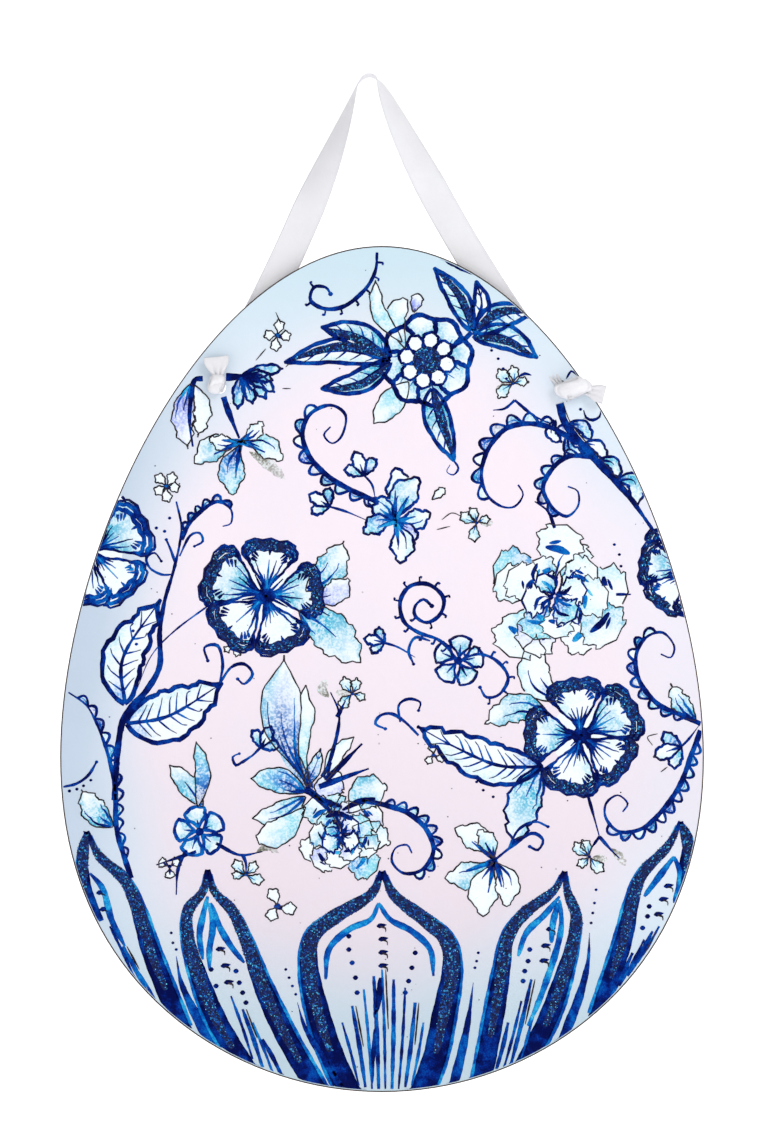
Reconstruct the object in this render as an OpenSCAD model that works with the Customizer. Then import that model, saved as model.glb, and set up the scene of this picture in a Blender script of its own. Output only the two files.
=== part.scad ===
// Egg-shaped hanging board on a ribbon loop.
// Millimetres. +Z is up and the painted front faces -Y.
// The origin is the inside of the ribbon's crown, where a hook takes it.

/* [Board] */
// height of the egg outline
board_h = 510; // [300:5:700]
// greatest width of the egg outline
board_w = 388; // [230:2:530]
// thickness of the sheet
board_t = 6; // [3:0.5:12]
// drop from the hang point to the top of the egg
top_drop = 103; // [60:1:200]
// how far the egg's centreline lies to the right of the hang point
board_x = 7.8; // [-20:0.1:20]
// straight pieces in the outline
outline_steps = 180; // [60:4:240]

/* [Painted face] */
// thickness of the primer, paint and glitter
paint_t = 0.4; // [0.2:0.1:1]
// scorched rim left bare around the paint
paint_inset = 0.8; // [0.3:0.1:3]

/* [Ribbon holes] */
// diameter of each drilled hole
hole_d = 8; // [5:0.5:12]
// depth of the holes below the top of the egg
hole_drop = 85; // [60:1:120]
// left hole, from the egg's centreline
hole_left = 98; // [60:1:130]
// right hole, from the egg's centreline
hole_right = 108; // [60:1:130]

/* [Ribbon] */
// width of the flat ribbon
ribbon_w = 19; // [10:1:38]
// thickness of the ribbon
ribbon_t = 0.8; // [0.6:0.1:1.5]
// width of the ribbon where it is gathered at a hole
gather_w = 7; // [4:0.5:9]
// how far inside the hole's back mouth the bunched ribbon starts
pass_set_in = 0.6; // [0.4:0.1:2]
// clear space between the ribbon and the back of the board
ribbon_gap = 0.4; // [0.3:0.1:1]
// half the width of the crown
crown_r = 8.8; // [6:0.1:14]
// height at which the left leg is turned flat to the front
left_open = -66; // [-95:1:-30]
// height at which the right leg is turned flat to the front
right_open = -60; // [-95:1:-30]
// sections along each leg
leg_steps = 26; // [10:1:40]
// sections over the crown
crown_steps = 12; // [6:1:20]

/* [Knots] */
// left knot: width, depth and height
left_knot_size = [15, 9, 15]; // [5:1:30]
// right knot: width, depth and height
right_knot_size = [25, 11, 18]; // [5:1:30]
// length of the ribbon's free ends
tail_len = 13; // [5:1:25]

/* [Hidden] */
fine = 48;
front_y = -board_t / 2;
face_y = front_y - paint_t;
back_y = board_t / 2;
board_top = -top_drop;
hole_z = board_top - hole_drop;
left_x = board_x - hole_left;
right_x = board_x + hole_right;
ribbon_y = back_y + ribbon_gap + ribbon_t / 2;
left_knot_at = [left_x - 1.5, face_y - left_knot_size.y / 2, hole_z + 1.5];
right_knot_at = [right_x + 7, face_y - right_knot_size.y / 2, hole_z - 1];

// ---- helpers ----

function smooth(a, b, v) = let (t = max(0, min(1, (v - a) / (b - a)))) t * t * (3 - 2 * t);
function curve2(a, b, c, t) = (1 - t) * (1 - t) * a + 2 * t * (1 - t) * b + t * t * c;
function curve3(a, b, c, d, t) = (1 - t) * curve2(a, b, c, t) + t * curve2(b, c, d, t);
function unit(v) = v / norm(v);

// Half-width of the egg as a share of board_w / 2, at t = -1 (bottom) to 1 (top).
function egg_share(t) =
    sqrt(max(0, 1 - t * t)) * (0.977 + t * (-0.212 + t * (0.040 + t * (0.030 - t * 0.041))));

// The outline runs round the egg in equal turns, so the ends are well rounded.
function egg_outline(inset) = [
    for (i = [0 : outline_steps - 1])
        let (a = 360 * i / outline_steps, t = cos(a), side = sin(a) < 0 ? -1 : 1)
        [side * (board_w / 2 - inset) * egg_share(t), (board_h / 2 - inset) * t]
];

// An egg-shaped plate from y0 back to y1, with the two ribbon holes through it.
module egg_plate(inset, y0, y1) {
    difference() {
        translate([board_x, y1, board_top - board_h / 2])
            rotate([90, 0, 0])
                linear_extrude(y1 - y0) polygon(egg_outline(inset));
        for (x = [left_x, right_x])
            translate([x, y1 + 1, hole_z])
                rotate([90, 0, 0]) cylinder(d = hole_d, h = y1 - y0 + 2, $fn = fine);
    }
}

// A flat strip swept through stations of [centre, width direction, width].
module strip(stations, thick) {
    n = len(stations);
    rings = [for (i = [0 : n - 1])
        let (c = stations[i][0],
             run = unit(stations[min(i + 1, n - 1)][0] - stations[max(i - 1, 0)][0]),
             across = stations[i][1] * stations[i][2] / 2,
             out = unit(cross(run, stations[i][1])) * thick / 2)
        each [c - across - out, c + across - out, c + across + out, c - across + out]];
    // Both broad faces are split along the same diagonal, so a twist never brings them together.
    sides = [for (i = [0 : n - 2], k = [0 : 3])
        let (a = 4 * i + k, b = 4 * i + (k + 1) % 4)
        each k < 2 ? [[a, b, b + 4], [a, b + 4, a + 4]] : [[a, b, a + 4], [b, b + 4, a + 4]]];
    last = 4 * (n - 1);
    ends = [[0, 3, 2], [0, 2, 1], [last, last + 1, last + 2], [last, last + 2, last + 3]];
    polyhedron(rings, concat([for (f = sides) [f[0], f[2], f[1]]],
                             [for (f = ends) [f[0], f[2], f[1]]]));
}

// ---- the ribbon's run: left hole, crown, right hole ----

left_foot = [left_x, hole_z];
left_bow = [-41, -100];
left_crown = [-crown_r - 0.2, -9.5];
right_crown = [crown_r - 0.3, -7.5];
right_bow = [49, -100];
right_foot = [right_x, hole_z];
left_rise = unit(left_crown - left_bow);
right_fall = unit(right_bow - right_crown);
// handles that bring the crown's inside to z = 0
crown_pull = (8 * ribbon_t / 2 - 4 * (left_crown.y + right_crown.y))
             / (3 * (left_rise.y - right_fall.y));

run_xz = concat(
    [for (i = [0 : leg_steps - 1]) curve2(left_foot, left_bow, left_crown, i / leg_steps)],
    [for (i = [0 : crown_steps - 1])
        curve3(left_crown, left_crown + crown_pull * left_rise,
               right_crown - crown_pull * right_fall, right_crown, i / crown_steps)],
    [for (i = [0 : leg_steps]) curve2(right_crown, right_bow, right_foot, i / leg_steps)]);

// Depth of the ribbon: flat behind the board, coming forward to the hang point above it.
function ribbon_depth(z) = ribbon_y * max(0, min(1, z / board_top));

// Turn of the ribbon's width: 0 lies front to back over the hook, 90 faces the front.
// The left leg opens evenly down to left_open, the right one soon below the crown.
function ribbon_turn(i, z) =
    i < leg_steps + crown_steps / 2
        ? asin(max(0, min(1, (z + 2) / (left_open + 2))))
        : asin(sqrt(max(0, min(1, (z + 2) / (right_open + 2)))));

function gathered(z) = gather_w + (ribbon_w - gather_w) * smooth(hole_z + 2, hole_z + 34, z);

ribbon_run = [for (i = [0 : len(run_xz) - 1])
    let (p = run_xz[i],
         q = unit(run_xz[min(i + 1, len(run_xz) - 1)] - run_xz[max(i - 1, 0)]),
         a = ribbon_turn(i, p.y),
         slant = i < leg_steps + crown_steps / 2 ? [q.y, 0, -q.x] : [-q.y, 0, q.x],
         level = smooth(hole_z + 2, hole_z + 26, p.y),
         flat = unit(slant * level + [1, 0, 0] * (1 - level)),
         side = i < leg_steps + crown_steps / 2 ? 1 : -1)
    [[p.x, ribbon_depth(p.y), p.y],
     [flat.x * sin(a) * side, -cos(a), flat.z * sin(a) * side],
     gathered(p.y)]];

// ---- sub-parts ----

module ribbon_loop() {
    color("WhiteSmoke") strip(ribbon_run, ribbon_t);
}

module egg_board() {
    color("SaddleBrown") egg_plate(0, front_y, back_y);
}

module painted_face() {
    color("Lavender") egg_plate(paint_inset, face_y, front_y);
}

// The ribbon bunched through a hole, from just inside its back mouth into its knot.
module ribbon_pass(x) {
    translate([x, back_y - pass_set_in, hole_z])
        rotate([90, 0, 0]) cylinder(d = hole_d - 1, h = back_y - pass_set_in - face_y + 2, $fn = fine);
}

module left_ribbon_pass() {
    color("Gainsboro") ribbon_pass(left_x);
}

module right_ribbon_pass() {
    color("Gainsboro") ribbon_pass(right_x);
}

// A pulled knot: a slanted bulge with a turn of ribbon over its waist.
module knot(size, slant) {
    rotate([0, slant, 0]) {
        scale([size.x / 2, size.y / 2 - 0.4, size.z / 2.6]) sphere(1, $fn = 30);
        rotate([0, -62, 0])
            scale([size.z / 2, size.y / 2, size.x / 5]) sphere(1, $fn = 30);
    }
}

module left_knot() {
    color("White") translate(left_knot_at) knot(left_knot_size, 28);
}

module right_knot() {
    color("White") translate(right_knot_at) knot(right_knot_size, -18);
}

// A free end that leaves a knot at the angle given and lifts off the board.
module tail(root, angle, wide) {
    aim = [cos(angle), 0, sin(angle)];
    across = [-sin(angle), 0, cos(angle)];
    strip([for (i = [0 : 6])
        let (s = i / 6)
        [root + aim * (tail_len * s) + [0, -1.6 * sin(150 * s), 0], across,
         wide * (0.55 + 0.45 * smooth(0, 0.8, s))]], ribbon_t);
}

module left_tail() {
    color("WhiteSmoke") tail(left_knot_at + [1, 0.8, 3.5], 96, 15);
}

module right_tail() {
    color("WhiteSmoke") tail(right_knot_at + [6, 1.2, -1], -14, 11);
}

ribbon_loop();
egg_board();
painted_face();
left_ribbon_pass();
right_ribbon_pass();
left_knot();
right_knot();
left_tail();
right_tail();
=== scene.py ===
"""Flat egg-shaped hanging board, painted with blue florals and glitter, on a satin ribbon loop."""
import logging
import math
import random
from collections.abc import Iterable, Sequence
from dataclasses import dataclass, field
from enum import Enum

import bmesh
import bpy
from mathutils import Matrix, Vector


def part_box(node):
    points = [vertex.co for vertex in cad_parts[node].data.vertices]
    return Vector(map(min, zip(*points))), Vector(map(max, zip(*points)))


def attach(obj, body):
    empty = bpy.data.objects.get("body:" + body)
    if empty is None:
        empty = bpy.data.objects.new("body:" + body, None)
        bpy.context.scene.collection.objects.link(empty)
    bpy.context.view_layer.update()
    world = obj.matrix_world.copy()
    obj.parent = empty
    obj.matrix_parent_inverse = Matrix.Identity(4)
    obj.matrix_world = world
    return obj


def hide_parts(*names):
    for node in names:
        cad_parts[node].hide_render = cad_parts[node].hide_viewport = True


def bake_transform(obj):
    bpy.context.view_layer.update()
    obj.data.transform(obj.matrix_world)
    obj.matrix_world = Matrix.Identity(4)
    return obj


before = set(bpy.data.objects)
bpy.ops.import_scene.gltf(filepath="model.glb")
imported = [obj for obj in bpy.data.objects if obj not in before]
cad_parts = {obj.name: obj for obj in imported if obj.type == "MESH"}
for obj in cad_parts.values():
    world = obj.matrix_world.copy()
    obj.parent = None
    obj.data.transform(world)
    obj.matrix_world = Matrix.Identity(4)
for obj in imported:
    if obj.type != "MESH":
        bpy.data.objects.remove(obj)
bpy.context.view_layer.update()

LOG = logging.getLogger("egg_board")
MM = 0.001
Point = tuple[float, float]
Colour = tuple[float, float, float]

BOARD_LO, BOARD_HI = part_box("egg_board")
FACE_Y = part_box("painted_face")[0][1]
EGG_X = (BOARD_LO[0] + BOARD_HI[0]) / 2
EGG_FOOT = BOARD_LO[2]
HALF_W = (BOARD_HI[0] - BOARD_LO[0]) / 2 / MM
HALF_H = (BOARD_HI[2] - BOARD_LO[2]) / 2 / MM
SHARE = (0.977, -0.212, 0.040, 0.030, -0.041)
PAINT_EDGE = 0.9945
RIBBON_WIDE = 19.0
CLOTH_THICK = 0.42
KNOT_STEPS = 96


# ---------------------------------------------------------------- small maths

def lerp(a: float, b: float, t: float) -> float:
    """Return the value a share t of the way from a to b."""
    return a + (b - a) * t


def ease(a: float, b: float, v: float) -> float:
    """Return the smooth step of v from a to b."""
    t = max(0.0, min(1.0, (v - a) / (b - a)))
    return t * t * (3 - 2 * t)


def polar(centre: Point, angle: float, reach: float) -> Point:
    """Return the point at an angle in degrees and a distance from a centre."""
    a = math.radians(angle)
    return centre[0] + reach * math.cos(a), centre[1] + reach * math.sin(a)


def swell(t: float) -> float:
    """Return how far the egg swells from a plain ellipse at height t, from -1 to 1."""
    return sum(k * t ** n for n, k in enumerate(SHARE))


def egg_radius(p: Point) -> float:
    """Return 0 at the board's middle and 1 on its outline, for a point of the painting."""
    t = (p[1] - HALF_H) / HALF_H
    return math.hypot(p[0] / (HALF_W * swell(max(-1.0, min(1.0, t)))), t)


def held_inside(p: Point, limit: float = PAINT_EDGE) -> Point:
    """Return the point itself, or the nearest one along its radius that lies on the paint."""
    r = egg_radius(p)
    if r <= limit:
        return p
    t = (p[1] - HALF_H) / HALF_H * limit / r
    wide = HALF_W * swell(t) / (HALF_W * swell(max(-1.0, min(1.0, (p[1] - HALF_H) / HALF_H))))
    return p[0] * limit / r * wide, HALF_H * (1 + t)


def run_through(points: Sequence[Point], step: float = 1.6) -> list[Point]:
    """Return a smooth run through the given points.

    Args:
        points: the points to pass, in millimetres.
        step: the distance between the points returned.

    Returns:
        Points along a centripetal curve through all of them.
    """
    if len(points) < 3:
        points = [points[0], ((points[0][0] + points[-1][0]) / 2,
                              (points[0][1] + points[-1][1]) / 2), points[-1]]
    p = [Vector(q) for q in points]
    p = [p[0] * 2 - p[1], *p, p[-1] * 2 - p[-2]]
    out: list[Point] = []
    for a, b, c, d in zip(p, p[1:], p[2:], p[3:]):
        n = max(2, int((c - b).length / step + 0.5))
        for i in range(n):
            t = i / n
            q = 0.5 * (2 * b + (c - a) * t + (2 * a - 5 * b + 4 * c - d) * t * t
                       + (3 * b - a - 3 * c + d) * t ** 3)
            out.append((q.x, q.y))
    out.append((p[-2].x, p[-2].y))
    return out


def sideways(run: Sequence[Point], i: int) -> Vector:
    """Return the unit vector to the left of a run at its point i."""
    a, b = run[max(i - 1, 0)], run[min(i + 1, len(run) - 1)]
    d = Vector((b[0] - a[0], b[1] - a[1]))
    d = d.normalized() if d.length > 1e-9 else Vector((1, 0))
    return Vector((-d.y, d.x))


# ---------------------------------------------------------------- shader helpers

class Shader:
    """A material under construction, with short ways to add and join nodes."""

    def __init__(self, name: str, tree: bpy.types.NodeTree | None = None) -> None:
        """Start a material with a Principled shader, or wrap the tree given."""
        if tree is None:
            self.material = bpy.data.materials.new(name)
            self.material.use_nodes = True
            self.tree = self.material.node_tree
            self.bsdf = self.tree.nodes["Principled BSDF"]
        else:
            self.tree = tree

    def node(self, kind: str, **values: object) -> bpy.types.Node:
        """Add a node; each value sets a property, or an input when its name is in_N."""
        n = self.tree.nodes.new(kind)
        for key, value in values.items():
            if key.startswith("in_"):
                self.feed(n.inputs[int(key[3:])], value)
            else:
                setattr(n, key, value)
        return n

    def feed(self, socket: bpy.types.NodeSocket, value: object) -> None:
        """Join an output to a socket, or set the socket to a constant."""
        if isinstance(value, bpy.types.NodeSocket):
            self.tree.links.new(value, socket)
        else:
            socket.default_value = value

    def maths(self, operation: str, *values: object) -> bpy.types.NodeSocket:
        """Return the result of a Math node."""
        n = self.node("ShaderNodeMath", operation=operation)
        for i, value in enumerate(values):
            self.feed(n.inputs[i], value)
        return n.outputs[0]

    def ranged(self, value: object, a: float, b: float, c: float = 0.0, d: float = 1.0,
               smooth: bool = True) -> bpy.types.NodeSocket:
        """Return a value moved from the range a to b into the range c to d."""
        n = self.node("ShaderNodeMapRange", interpolation_type="SMOOTHSTEP" if smooth else "LINEAR",
                      in_0=value, in_1=a, in_2=b, in_3=c, in_4=d)
        return n.outputs[0]

    def mixed(self, share: object, a: object, b: object, blend: str = "MIX") -> bpy.types.NodeSocket:
        """Return a mix of two colours."""
        n = self.node("ShaderNodeMix", data_type="RGBA", blend_type=blend)
        for i, value in ((0, share), (6, a), (7, b)):
            if isinstance(value, tuple) and len(value) == 3:
                value = (*value, 1.0)
            self.feed(n.inputs[i], value)
        return n.outputs[2]

    def ramp(self, value: object, stops: Iterable[tuple[float, Colour]]) -> bpy.types.NodeSocket:
        """Return a colour ramp's colour for a value."""
        n = self.node("ShaderNodeValToRGB", in_0=value)
        stops = list(stops)
        while len(n.color_ramp.elements) < len(stops):
            n.color_ramp.elements.new(0.5)
        for e, (place, colour) in zip(n.color_ramp.elements, stops):
            e.position, e.color = place, (*colour, 1.0)
        return n.outputs[0]

    def place(self) -> bpy.types.NodeSocket:
        """Return the object coordinates."""
        return self.node("ShaderNodeTexCoord").outputs["Object"]

    def noise(self, scale: float, detail: float = 3.0, vector: object = None,
              rough: float = 0.55) -> bpy.types.NodeSocket:
        """Return a noise value over the object's own space."""
        n = self.node("ShaderNodeTexNoise")
        self.feed(n.inputs["Vector"], vector or self.place())
        n.inputs["Scale"].default_value = scale
        n.inputs["Detail"].default_value = detail
        n.inputs["Roughness"].default_value = rough
        return n.outputs["Fac"]

    def attribute(self, name: str, output: str = "Fac") -> bpy.types.NodeSocket:
        """Return a stored attribute."""
        return self.node("ShaderNodeAttribute", attribute_name=name).outputs[output]

    def group(self, tree: bpy.types.NodeTree, **values: object) -> bpy.types.Node:
        """Place a node group with its inputs set by name, underscores for spaces."""
        n = self.node("ShaderNodeGroup", node_tree=tree)
        for key, value in values.items():
            self.feed(n.inputs[key.replace("_", " ")], value)
        return n

    def coat(self, colour: object, rough: object, specular: float) -> None:
        """Set the shader's colour, roughness and specular level."""
        self.feed(self.bsdf.inputs["Base Color"], colour)
        self.feed(self.bsdf.inputs["Roughness"], rough)
        self.bsdf.inputs["Specular IOR Level"].default_value = specular

    def bump(self, height: object, depth: float) -> None:
        """Drive the shader's normal from a height, in metres of depth."""
        n = self.node("ShaderNodeBump")
        n.inputs["Distance"].default_value = depth
        self.feed(n.inputs["Height"], height)
        self.feed(self.bsdf.inputs["Normal"], n.outputs[0])


def shader_group(name: str, inputs: Iterable[tuple[str, str, object]],
                 outputs: Iterable[tuple[str, str]]) -> tuple[Shader, bpy.types.Node, bpy.types.Node]:
    """Start a shader node group.

    Args:
        name: the group's name.
        inputs: name, socket type and starting value of each input.
        outputs: name and socket type of each output.

    Returns:
        The helper for its tree, its input node and its output node.
    """
    tree = bpy.data.node_groups.new(name, "ShaderNodeTree")
    for label, kind, value in inputs:
        tree.interface.new_socket(label, in_out="INPUT", socket_type=kind).default_value = value
    for label, kind in outputs:
        tree.interface.new_socket(label, in_out="OUTPUT", socket_type=kind)
    s = Shader(name, tree)
    return s, s.node("NodeGroupInput"), s.node("NodeGroupOutput")


class Effects:
    """Shader node groups that more than one finish uses."""

    def __init__(self) -> None:
        """Build each group once."""
        self.mottle = self._mottle()
        self.egg = self._egg()
        self.relief = self._relief()

    @staticmethod
    def _mottle() -> bpy.types.NodeTree:
        """Return a group for the uneven load of watery paint, 0 thin to 1 thick."""
        s, gi, go = shader_group("watery_mottle", [
            ("Vector", "NodeSocketVector", (0, 0, 0)), ("Patch Scale", "NodeSocketFloat", 60.0),
            ("Grain Scale", "NodeSocketFloat", 900.0), ("Grain", "NodeSocketFloat", 0.35)],
            [("Load", "NodeSocketFloat")])
        patch = s.node("ShaderNodeTexNoise", in_0=gi.outputs[0])
        s.feed(patch.inputs["Scale"], gi.outputs[1])
        patch.inputs["Detail"].default_value = 4.0
        grain = s.node("ShaderNodeTexNoise", in_0=gi.outputs[0])
        s.feed(grain.inputs["Scale"], gi.outputs[2])
        base = s.ranged(patch.outputs["Fac"], 0.32, 0.68)
        fine = s.ranged(grain.outputs["Fac"], 0.3, 0.7)
        keep = s.maths("SUBTRACT", 1.0, gi.outputs[3])
        load = s.maths("ADD", s.maths("MULTIPLY", base, keep), s.maths("MULTIPLY", fine, gi.outputs[3]))
        s.feed(go.inputs[0], load)
        return s.tree

    @staticmethod
    def _egg() -> bpy.types.NodeTree:
        """Return a group that gives 0 at the board's middle and 1 on its outline."""
        s, gi, go = shader_group("egg_radius", [("Vector", "NodeSocketVector", (0, 0, 0))],
                                 [("Radius", "NodeSocketFloat"), ("Height", "NodeSocketFloat"),
                                  ("Side", "NodeSocketFloat")])
        split = s.node("ShaderNodeSeparateXYZ", in_0=gi.outputs[0])
        u = s.maths("DIVIDE", s.maths("SUBTRACT", split.outputs[0], EGG_X), HALF_W * MM)
        t = s.maths("DIVIDE", s.maths("SUBTRACT", split.outputs[2], EGG_FOOT + HALF_H * MM), HALF_H * MM)
        poly: object = SHARE[-1]
        for k in reversed(SHARE[:-1]):
            poly = s.maths("ADD", s.maths("MULTIPLY", poly, t), k)
        side = s.maths("DIVIDE", u, poly)
        square = s.maths("ADD", s.maths("MULTIPLY", side, side), s.maths("MULTIPLY", t, t))
        s.feed(go.inputs[0], s.maths("SQRT", square))
        s.feed(go.inputs[1], t)
        s.feed(go.inputs[2], side)
        return s.tree

    @staticmethod
    def _relief() -> bpy.types.NodeTree:
        """Return a group for the fine brush relief and pits of dried paint."""
        s, gi, go = shader_group("paint_relief", [
            ("Vector", "NodeSocketVector", (0, 0, 0)), ("Scale", "NodeSocketFloat", 300.0),
            ("Stretch", "NodeSocketFloat", 4.0)], [("Height", "NodeSocketFloat")])
        split = s.node("ShaderNodeSeparateXYZ", in_0=gi.outputs[0])
        pulled = s.node("ShaderNodeCombineXYZ", in_0=split.outputs[0], in_1=split.outputs[1])
        s.feed(pulled.inputs[2], s.maths("DIVIDE", split.outputs[2], gi.outputs[2]))
        streak = s.node("ShaderNodeTexNoise", in_0=pulled.outputs[0])
        s.feed(streak.inputs["Scale"], gi.outputs[1])
        pits = s.node("ShaderNodeTexNoise", in_0=gi.outputs[0])
        s.feed(pits.inputs["Scale"], s.maths("MULTIPLY", gi.outputs[1], 3.0))
        s.feed(go.inputs[0], s.maths("ADD", s.maths("MULTIPLY", streak.outputs["Fac"], 0.7),
                                     s.maths("MULTIPLY", pits.outputs["Fac"], 0.3)))
        return s.tree


# ---------------------------------------------------------------- finishes

@dataclass(frozen=True)
class GroundPaint:
    """Pale ground: lavender pink in the middle, washed with blue towards the edge, with painted shade
    darkening the left edge and the foot and a painted highlight keeping the right edge pale.
    """

    middle: Colour = (0.875, 0.785, 0.860)
    # painted shade: the middle's lavender pink, darker, for the lower half
    shaded_lower_pink: Colour = (0.755, 0.665, 0.735)
    rim: Colour = (0.68, 0.775, 0.865)
    # blue of the left edge, darkened with painted shade
    left_blue_and_shade: Colour = (0.49, 0.585, 0.71)
    # grey-blue of the lower part, darkened with painted shade
    foot_blue_and_shade: Colour = (0.46, 0.59, 0.67)
    apex: Colour = (0.56, 0.73, 0.81)

    def build(self, fx: Effects) -> bpy.types.Material:
        """Return the material."""
        s = Shader("pale_ground_paint")
        at = s.place()
        egg = s.group(fx.egg, Vector=at)
        radius, height, side = egg.outputs
        drift = s.maths("MULTIPLY", s.maths("SUBTRACT", s.noise(9, 2, at), 0.5), 0.22)
        reach = s.maths("ADD", radius, drift)
        # Painted shade: the lavender pink darkens towards the foot.
        base = s.mixed(s.ranged(height, 0.4, -0.9), self.middle, self.shaded_lower_pink)
        # Painted highlight: the blue rim is weakened along the right side at mid height, keeping that edge
        # pale.
        rim_paled_on_lit_right = s.maths("MAXIMUM", s.ranged(side, 0.3, 0.9, 1.0, 0.3),
                       s.ranged(s.maths("ABSOLUTE", height), 0.15, 0.6))
        base = s.mixed(s.maths("MULTIPLY", s.ranged(reach, 0.66, 0.98), rim_paled_on_lit_right), base, self.rim)
        base = s.mixed(s.maths("MULTIPLY", s.ranged(height, 0.70, 1.0), 0.9), base, self.apex)
        # Partly real blue, partly painted shade: the left edge turns a darker blue.
        left = s.maths("MULTIPLY", s.ranged(side, -0.45, -1.0), s.ranged(reach, 0.66, 1.0))
        base = s.mixed(s.maths("MULTIPLY", left, 0.9), base, self.left_blue_and_shade)
        # Partly real blue-grey, partly painted shade: the lower part darkens towards the foot.
        low = s.maths("MULTIPLY", s.ranged(height, -0.45, -0.9), s.ranged(reach, 0.35, 0.95))
        base = s.mixed(s.maths("MULTIPLY", low, 0.92), base, self.foot_blue_and_shade)
        load = s.group(fx.mottle, Vector=at, Patch_Scale=26.0, Grain_Scale=420.0, Grain=0.3)
        base = s.mixed(s.ranged(load.outputs[0], 0.2, 1.0, 0.0, 0.10), base, (0.62, 0.70, 0.86))
        specks = s.node("ShaderNodeTexVoronoi", in_0=at)
        specks.inputs["Scale"].default_value = 42.0
        dot = s.ranged(specks.outputs["Distance"], 0.030, 0.022)
        rare = s.ranged(s.noise(55, 1, at), 0.60, 0.63)
        base = s.mixed(s.maths("MULTIPLY", s.maths("MULTIPLY", dot, rare), 0.5), base, (0.25, 0.24, 0.30))
        s.coat(base, s.ranged(load.outputs[0], 0, 1, 0.48, 0.62), 0.15)
        relief = s.group(fx.relief, Vector=at, Scale=240.0, Stretch=3.0)
        s.bump(relief.outputs[0], 0.00012)
        return s.material


@dataclass(frozen=True)
class BluePaint:
    """Flowing blue paint, its depth set by each stroke's tone and broken by streaks."""

    name: str = "blue_brush_paint"
    stops: tuple[tuple[float, Colour], ...] = (
        (0.0, (0.0002, 0.003, 0.066)), (0.2, (0.0003, 0.016, 0.20)), (0.4, (0.0005, 0.062, 0.37)),
        (0.6, (0.002, 0.16, 0.54)), (0.8, (0.02, 0.37, 0.70)), (1.0, (0.18, 0.66, 0.80)))

    def build(self, fx: Effects) -> bpy.types.Material:
        """Return the material."""
        s = Shader(self.name)
        at = s.place()
        load = s.group(fx.mottle, Vector=at, Patch_Scale=120.0, Grain_Scale=1500.0, Grain=0.3)
        shift = s.maths("MULTIPLY", s.maths("SUBTRACT", load.outputs[0], 0.46), -0.62)
        tone = s.maths("ADD", s.attribute("tone"), shift)
        s.coat(s.ramp(tone, self.stops), s.ranged(load.outputs[0], 0, 1, 0.6, 0.45), 0.03)
        relief = s.group(fx.relief, Vector=at, Scale=900.0, Stretch=2.0)
        s.bump(relief.outputs[0], 0.00008)
        return s.material


@dataclass(frozen=True)
class WashPaint:
    """Watery washes whose colour is stored on the shape and granulates to white."""

    def build(self, fx: Effects) -> bpy.types.Material:
        """Return the material."""
        s = Shader("watery_wash_paint")
        at = s.place()
        load = s.group(fx.mottle, Vector=at, Patch_Scale=120.0, Grain_Scale=760.0, Grain=0.55)
        colour = s.attribute("wash", "Color")
        pale = s.mixed(s.ranged(load.outputs[0], 0.2, 0.68, 0.66, 0.0), colour, (0.86, 0.91, 0.95))
        deep = s.mixed(s.ranged(load.outputs[0], 0.5, 0.95, 0.0, 0.62), pale, colour, "MULTIPLY")
        spark = s.node("ShaderNodeTexVoronoi", in_0=at)
        spark.inputs["Scale"].default_value = 520.0
        glint = s.maths("MULTIPLY", s.ranged(spark.outputs["Distance"], 0.24, 0.12),
                        s.ranged(s.noise(320, 1, at), 0.54, 0.60))
        glint = s.maths("MULTIPLY", glint, 0.55)
        s.coat(s.mixed(glint, deep, (0.45, 0.86, 0.90)), s.ranged(load.outputs[0], 0, 1, 0.55, 0.38), 0.2)
        relief = s.group(fx.relief, Vector=at, Scale=500.0, Stretch=1.5)
        s.bump(relief.outputs[0], 0.00008)
        return s.material


@dataclass(frozen=True)
class PenInk:
    """Brown-black pen line that thins to grey where the nib ran dry."""

    name: str = "brown_black_ink"
    wet: Colour = (0.006, 0.004, 0.008)
    dry: Colour = (0.040, 0.028, 0.036)
    cut: tuple[float, float] = (0.45, 0.75)

    def build(self, fx: Effects) -> bpy.types.Material:
        """Return the material."""
        s = Shader(self.name)
        at = s.place()
        load = s.group(fx.mottle, Vector=at, Patch_Scale=120.0, Grain_Scale=2200.0, Grain=0.25)
        share = s.ranged(load.outputs[0], *self.cut)
        s.coat(s.mixed(share, self.wet, self.dry), s.ranged(load.outputs[0], 0, 1, 0.4, 0.6), 0.12)
        relief = s.group(fx.relief, Vector=at, Scale=1400.0, Stretch=1.0)
        s.bump(relief.outputs[0], 0.00005)
        return s.material


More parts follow.
